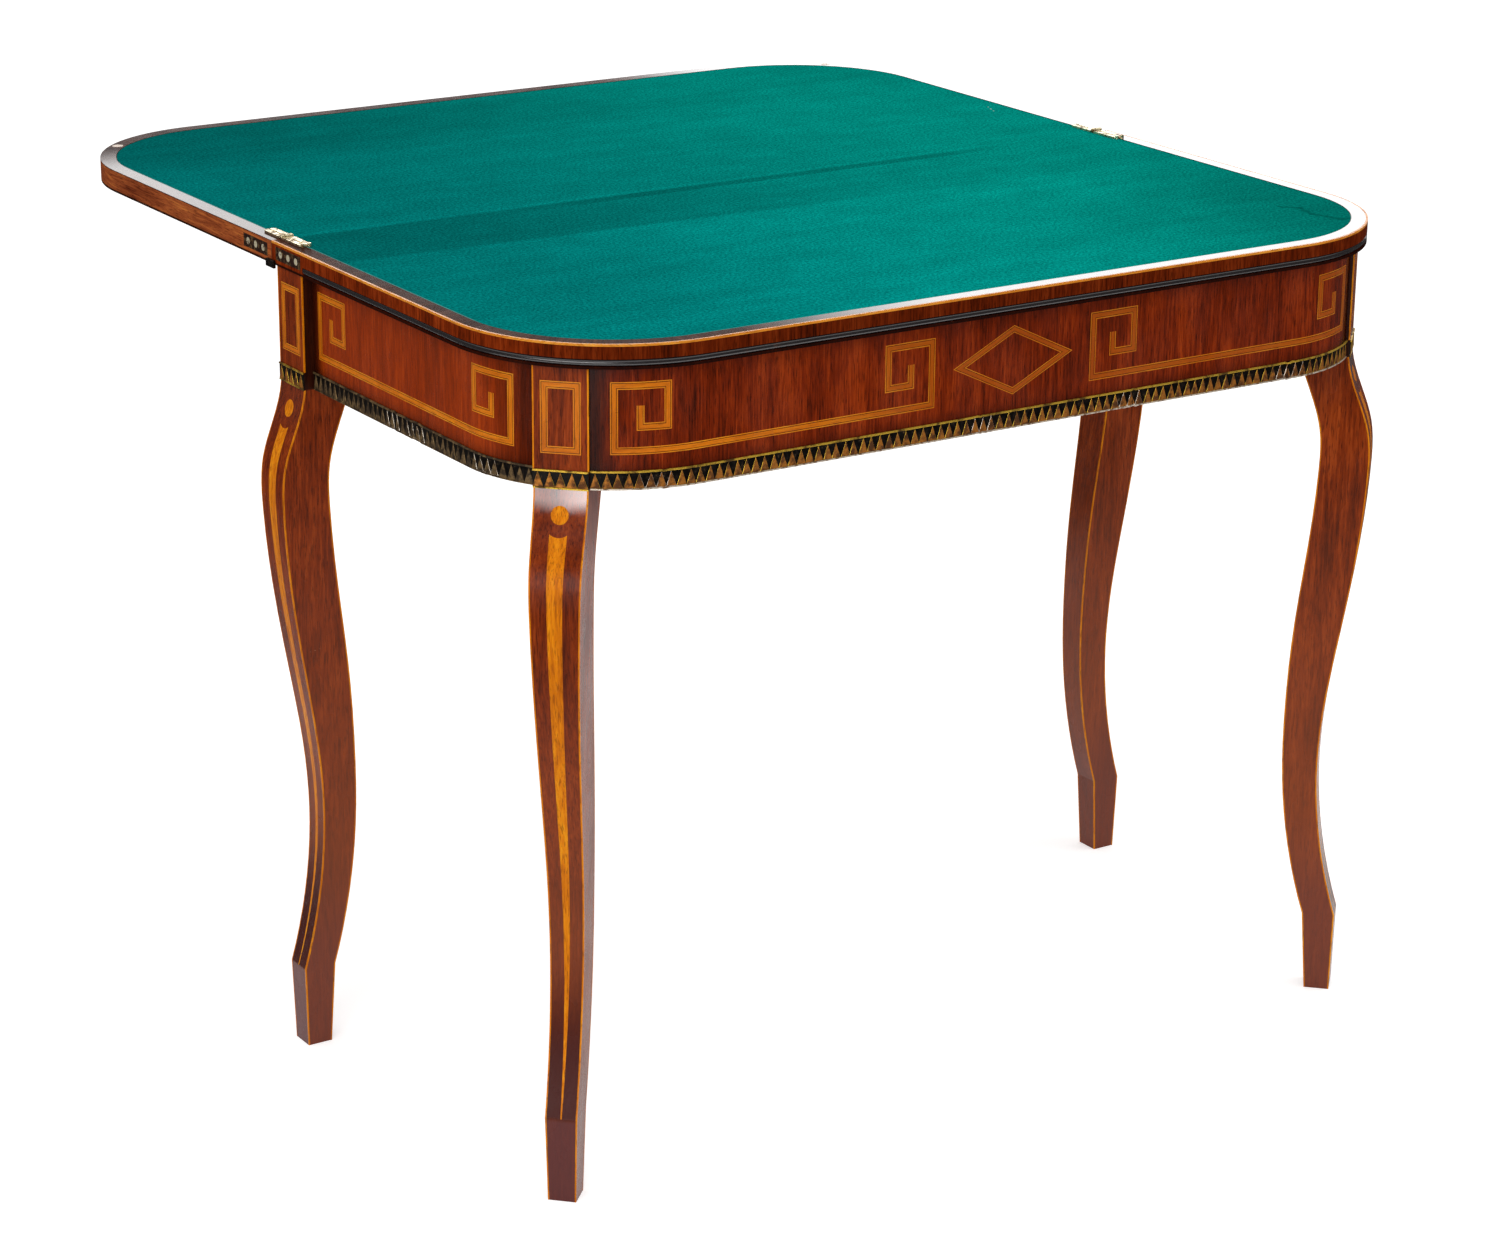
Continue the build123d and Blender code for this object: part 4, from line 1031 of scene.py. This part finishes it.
for name, (origin, outward, body) in posts.items():
    along = (-outward[1], outward[0])
    bm = bmesh.new()
    out_by = bm.verts.layers.float.new("out_by")
    side_by = bm.verts.layers.float.new("side_by")
    chains = sharp_chains(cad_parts[name + "_leg"], origin, outward)
    for positive, points in chains.items():
        side = 1 if positive else -1
        for face, line in zip((1, -1), split_line(points, outward)):
            row = [bm.verts.new() for _ in range(4)]
            for vert, (a, b) in zip(row, ((1, 1), (1, 0), (0, 0), (0, 1))):
                vert[out_by] = face * (string_proud if a else string_proud - string_size)
                vert[side_by] = side * (string_proud if b else string_proud - string_size)
            edges = [bm.edges.new((row[k], row[(k + 1) % 4])) for k in range(4)]
            for number, p in enumerate(line):
                if number:
                    row, edges, _ = pull_on(bm, edges)
                for vert in row:
                    vert.co = (p[0] + vert[out_by] * outward[0] + vert[side_by] * along[0],
                               p[1] + vert[out_by] * outward[1] + vert[side_by] * along[1], p[2])
    bmesh.ops.holes_fill(bm, edges=[e for e in bm.edges if e.is_boundary], sides=4)
    finish_piece(name + "_leg_strings", bm, as_it_is, [orange_inlay], body, "inlay_wood")

# %% [markdown]
# ## Brass band
# A strip of pressed brass runs round the foot of the frieze: a bright line on top, a row of gilt
# teeth on a black ground, and a dull rail below. The CAD strip is the ground. The teeth are small
# raised triangles, and the rails are bars with softened edges, each given by its foot, its top and
# how proud it stands. Stretches of the real band are dented, so a few places get pushed about
# before bending round the corner, and their slopes are bare brass.

# %% Rails of the band
band_face = 0.0009
tooth_foot, tooth_tip = 0.6364, 0.6492
tooth_sunk, tooth_slope, tooth_top = 0.0003, 0.0006, 0.0002
top_rail, foot_rail = (0.6495, 0.6511, 0.0009), (0.6349, 0.6362, 0.0007)


def wobble(number, seed):
    """A repeatable number from -1 to 1: the tail digits of a sine, which look random."""
    value = sin(number * 12.9898 + seed * 78.233) * 43758.5453
    return 2 * (value - floor(value)) - 1


def rail_bar(bm, start, end, low, high, proud):
    """A bar along the run with softened outer edges."""
    verts = box_between(bm, (start, band_face - 0.0004, low), (end, band_face + proud, high))
    long_edges = [e for e in bm.edges if all(v in verts for v in e.verts)
                  and abs(e.verts[0].co.x - e.verts[1].co.x) > 1e-4
                  and e.verts[0].co.y > band_face]
    bmesh.ops.bevel(bm, geom=long_edges, offset=0.35 * proud, offset_type="OFFSET",
                    affect="EDGES", segments=2, profile=0.5, material=-1)


print("teeth", round(1000 * (tooth_tip - tooth_foot), 1), "mm high")

# %% Teeth of the band
tooth_slant, tooth_lean, dent_reach, dent_step = 0.0004, 0.0004, 0.014, 0.003


def lift_faces(bm, faces, height):
    """Moves faces away from the frieze."""
    verts = list({v for f in faces for v in f.verts})
    bmesh.ops.translate(bm, verts=verts, vec=(0, height, 0))


def raise_teeth(bm, start, end, teeth):
    """Puts down a row of triangles and raises them; gives the slopes round their tops."""
    pitch = (end - start) / teeth
    for number in range(teeth):
        middle = start + (number + 0.5 + 0.05 * wobble(number, 1)) * pitch
        half = pitch * (0.495 + 0.005 * wobble(number, 2))
        tip = middle + tooth_lean * wobble(number, 3)
        corners = ((middle - half, tooth_foot), (middle + half, tooth_foot), (tip, tooth_tip))
        bm.faces.new([bm.verts.new((run, band_face - tooth_sunk, height))
                      for run, height in corners])
    flat = [f for f in bm.faces if len(f.verts) == 3]
    made = bmesh.ops.extrude_face_region(bm, geom=flat)["geom"]
    tops = [f for f in those_in(made, bmesh.types.BMFace) if len(f.verts) == 3]
    lift_faces(bm, tops, tooth_slope)
    slopes = bmesh.ops.inset_individual(bm, faces=tops, thickness=tooth_slant, depth=0.0)
    lift_faces(bm, tops, tooth_top)
    return slopes["faces"]


def crumple(bm, dents):
    """Pushes the band about near each dent."""
    for vert in bm.verts:
        for number, (where, push) in enumerate(dents):
            near = max(0.0, 1 - abs(vert.co.x - where) / dent_reach)
            vert.co.z += near * push * wobble(round(vert.co.x * 4000), number)
            vert.co.y += near * abs(push) * 0.6 * wobble(round(vert.co.x * 3000), number + 5)


def band_relief(name, start, end, teeth, cuts, place, body, dents=(),
                finishes=(gilt, gilt_rail, gilt_rail, bare_brass)):
    """Teeth and rails of one stretch of the band."""
    bm = bmesh.new()
    rail_bar(bm, start, end, *top_rail)
    rail_bar(bm, start, end, *foot_rail)
    for face in bm.faces:
        face.material_index = 1 if face.calc_center_median().z > tooth_foot else 2
    for face in raise_teeth(bm, start, end, teeth):
        along = face.calc_center_median().x
        bare = any(abs(along - where) < dent_reach + 0.002 for where, _ in dents)
        face.material_index = 3 if bare else 1
    bends = [where + step * dent_step for where, _ in dents for step in range(-4, 5)]
    cut_across(bm, list(cuts) + bends)
    crumple(bm, dents)
    finish_piece(name, bm, place, finishes, body, "band_brass")


proud = tooth_slope + tooth_top - tooth_sunk
print("the teeth stand", round(1000 * proud, 1), "mm proud of their ground")

# %% Band all round
front_teeth, side_teeth, stile_teeth = 92, 40, 5
front_end, side_start, side_end, stile_end = 0.4082, 0.0542, 0.4109, 0.0234
front_dents = [(0.128, 0.0012), (0.306, 0.0011), (-0.034, 0.0004), (-0.352, 0.0005)]
side_dents = [(0.205, 0.0010), (0.245, 0.0012), (0.360, 0.0006)]

band_relief("front_band_relief", -front_end, front_end, front_teeth, front_cuts, on_front,
            "frame", front_dents, (gilt, gilt_rail, bare_brass, bare_brass))
for side, name in ((-1, "left"), (1, "right")):
    band_relief(name + "_band_relief", side_start, side_end, side_teeth, side_cuts,
                on_side(side), "frame", side_dents,
                (dull_gilt, dull_gilt, dull_gilt, bare_brass))
for name, (origin, outward, body) in posts.items():
    band_relief(name + "_stile_relief", -stile_end, stile_end, stile_teeth, (),
                on_stile(origin, outward), body)

# %% [markdown]
# ## Cloth
# One piece of green baize covers both leaves. It is a rectangle with rounded corners, cut into
# squares so that it can lie with a slight hollow along the fold, then given its thickness. A cloth
# bends when the table folds, so its pattern can't be read from space: it gets a UV map in metres.

# %% Baize
cloth_x, cloth_y, cloth_radius = 0.4494, 0.4694, 0.1344
cloth_top, cloth_thickness = 0.7598, 0.0008
hollow_width, hollow_depth = 0.006, 0.0002

bm = bmesh.new()
corners = [bm.verts.new((sx * cloth_x, sy * cloth_y, 0))
           for sx, sy in ((-1, -1), (1, -1), (1, 1), (-1, 1))]
bm.faces.new(corners)
bmesh.ops.bevel(bm, geom=corners, offset=cloth_radius, offset_type="OFFSET", affect="VERTICES",
                segments=18, profile=0.5, material=-1)
for axis, reach, count in ((0, cloth_x, 44), (1, cloth_y, 46)):
    cut_across(bm, [-reach + 2 * reach * step / count for step in range(1, count)], axis)
cut_across(bm, (-0.008, -0.006, -0.004, -0.002, 0.002, 0.004, 0.006, 0.008), 1)
upper = those_in(bmesh.ops.extrude_face_region(bm, geom=bm.faces[:])["geom"], bmesh.types.BMVert)
bmesh.ops.translate(bm, verts=upper, vec=(0, 0, cloth_thickness))
for vert in bm.verts:
    hollow = max(0.0, 1 - abs(vert.co.y) / hollow_width)
    vert.co.z += cloth_top - cloth_thickness - hollow_depth * hollow
bmesh.ops.recalc_face_normals(bm, faces=bm.faces[:])
uv = bm.loops.layers.uv.verify()
for face in bm.faces:
    for loop in face.loops:
        loop[uv].uv = (loop.vert.co.x, loop.vert.co.y)
baize = as_object("baize", bm)
print("baize:", len(baize.data.polygons), "faces")

# %% Baize on both leaves
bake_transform(baize)
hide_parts("fixed_leaf_baize", "fly_leaf_baize")

# %% [markdown]
# ## Nap and tone of the cloth
# The nap is a fine speckle of one green. Everything broader is a factor on its tone, which leaves
# the hue alone: cloudy patches, long streaks, a darker strip in front of the fold, a paler middle
# and a darker front right corner.

# %% Nap
baize_cloth, tree, shader = new_finish("baize_cloth")
across, along, _ = sums(tree, put(tree, "UVMap").outputs["UV"])
spot = joined(tree, across, along, 0.0)
nap = noise(tree, stretched(tree, spot, 380.0, 1.0), 3.0, 0.8)
speckle = ramp(tree, nap, (0.38, paint(0, 98, 94)), (0.50, paint(1, 126, 119)),
               (0.62, paint(6, 152, 142)))
blotches = noise(tree, stretched(tree, spot, 20.0, 1.0), 5.0, 0.65)
streaks = noise(tree, joined(tree, times(tree, across, 3.0), times(tree, along, 34.0), 0.0))
cloudy = times(tree, fade(tree, blotches, 0.30, 0.70, 0.93, 1.09),
               fade(tree, streaks, 0.35, 0.65, 0.95, 1.05))
print("nap nodes:", len(tree.nodes))

# %% Tone
past_strip = fade(tree, plus(tree, along, times(tree, across, 0.04)), -0.131, -0.119, 1.0, 0.0)
behind = fade(tree, along, -0.004, 0.002)
strip = minus(tree, 1.0, plus(tree, past_strip, behind))
middle = times(tree, fade(tree, across, -0.35, -0.05), fade(tree, across, 0.28, 0.44, 1.0, 0.0))
near_left = times(tree, fade(tree, along, -0.44, -0.30, 0.14, 0.0),
                  fade(tree, across, -0.15, 0.15, 1.0, 0.0))
far_left = times(tree, fade(tree, along, 0.25, 0.37), fade(tree, across, -0.2, 0.2, 0.24, 0.10))
paler = plus(tree, times(tree, middle, plus(tree, times(tree, past_strip, 0.16), 0.06)), near_left)
darker = plus(tree, times(tree, strip, fade(tree, across, -0.40, 0.25, 0.30, 0.04)), far_left,
              times(tree, behind, fade(tree, across, 0.0, 0.3, 0.08, 0.0)))
from_corner = put(tree, "VectorMath", {"operation": "DISTANCE"}, Vector=spot)
feed(tree, from_corner.inputs[1], (0.43, -0.41, 0.0))
tone = times(tree, plus(tree, 1.0, minus(tree, paler, darker)),
             fade(tree, from_corner.outputs["Value"], 0.02, 0.36, 0.64, 1.0))
print("tone nodes:", len(tree.nodes))

# %% [markdown]
# ## Fold, marks and edges
# Along the fold runs a pale ridge, and in front of its middle part a crease darkened with painted
# shade. Both follow a line that sways a little. The cloth is bluer and darker at the left and
# greener at the right. A few small folds show wear and are darkened with painted shade. A slit
# shows wear and has a painted highlight along it. The front and left edges are paler, partly rubbed
# and partly painted light, and the right and back edges carry a painted shadow. The folds are
# pressed into the surface too, so that they catch the light.

# %% Fold
sway = minus(tree, noise(tree, stretched(tree, spot, 6.0, 1.0)), 0.5)
fold_line = minus(tree, along, times(tree, sway, 0.008))
ridge = times(tree, fade(tree, unsigned(tree, minus(tree, fold_line, 0.004)),
                         0.001, 0.005, 0.14, 0.0),
              fade(tree, across, 0.15, 0.40, 1.0, 0.3))
# Painted shade: the cloth darkens in a crease in front of the fold.
shaded_crease = times(tree, fade(tree, unsigned(tree, plus(tree, fold_line, 0.010)),
                          0.005, 0.010, 1.0, 0.0),
               fade(tree, across, -0.25, -0.08), fade(tree, across, 0.24, 0.34, 1.0, 0.0))
tone = times(tree, tone, plus(tree, 1.0, ridge), minus(tree, 1.0, times(tree, shaded_crease, 0.34)),
             cloudy)
green = times(tree, tone, fade(tree, across, -0.46, 0.46, 0.71, 1.02))
blue = times(tree, tone, fade(tree, across, -0.46, 0.46, 0.77, 0.94))
colour = mixed(tree, 1.0, speckle, joined(tree, 1.0, green, blue), "MULTIPLY")
print("with the fold:", len(tree.nodes))

# %% Marks and edges
bends = [(0.390, -0.356), (0.4018, -0.369), (0.3952, -0.394), (0.3993, -0.406)]
last_bends = [(0.4006, -0.411), (0.404, -0.423), (0.418, -0.427)]
pinch = shaded_crease
# Painted shade: each small fold is drawn darker; it is pressed into the relief as well.
for start, end in [*zip(bends, bends[1:]), *zip(last_bends, last_bends[1:])]:
    fold = on_line(tree, across, along, start, end, 0.0042)
    colour = mixed(tree, times(tree, fold, 0.55), colour, paint(0, 74, 66))
    pinch = larger(tree, pinch, fold)
# Painted highlight: a pale line along a slit in the cloth.
slit_highlight = on_line(tree, across, along, (0.424, 0.138), (0.431, 0.157), 0.0012)
# Front and left edges paler, partly rubbed and partly painted light; right and back edges carry a
# painted shadow.
rubbed = larger(tree, fade(tree, across, -cloth_x + 0.0002, -cloth_x + 0.0014, 1.0, 0.0),
                fade(tree, along, -cloth_y + 0.0002, -cloth_y + 0.0014, 1.0, 0.0))
shaded = larger(tree, fade(tree, across, cloth_x - 0.0030, cloth_x - 0.0010),
                fade(tree, along, cloth_y - 0.0030, cloth_y - 0.0010))
colour = mixed(tree, slit_highlight, colour, paint(150, 190, 180))
colour = mixed(tree, times(tree, rubbed, 0.5), colour, paint(120, 170, 165))
colour = mixed(tree, times(tree, shaded, 0.5), colour, paint(0, 60, 54))
relief(tree, shader, minus(tree, nap, times(tree, pinch, 2.0)), 0.6, 0.0005)
feed_all(tree, shader, Base_Color=colour, Roughness=1.0, Specular_IOR_Level=0.0,
         Sheen_Weight=0.06, Sheen_Roughness=0.5, Sheen_Tint=paint(0, 150, 140))
baize.data.materials.append(baize_cloth)
print("baize nodes:", len(tree.nodes))
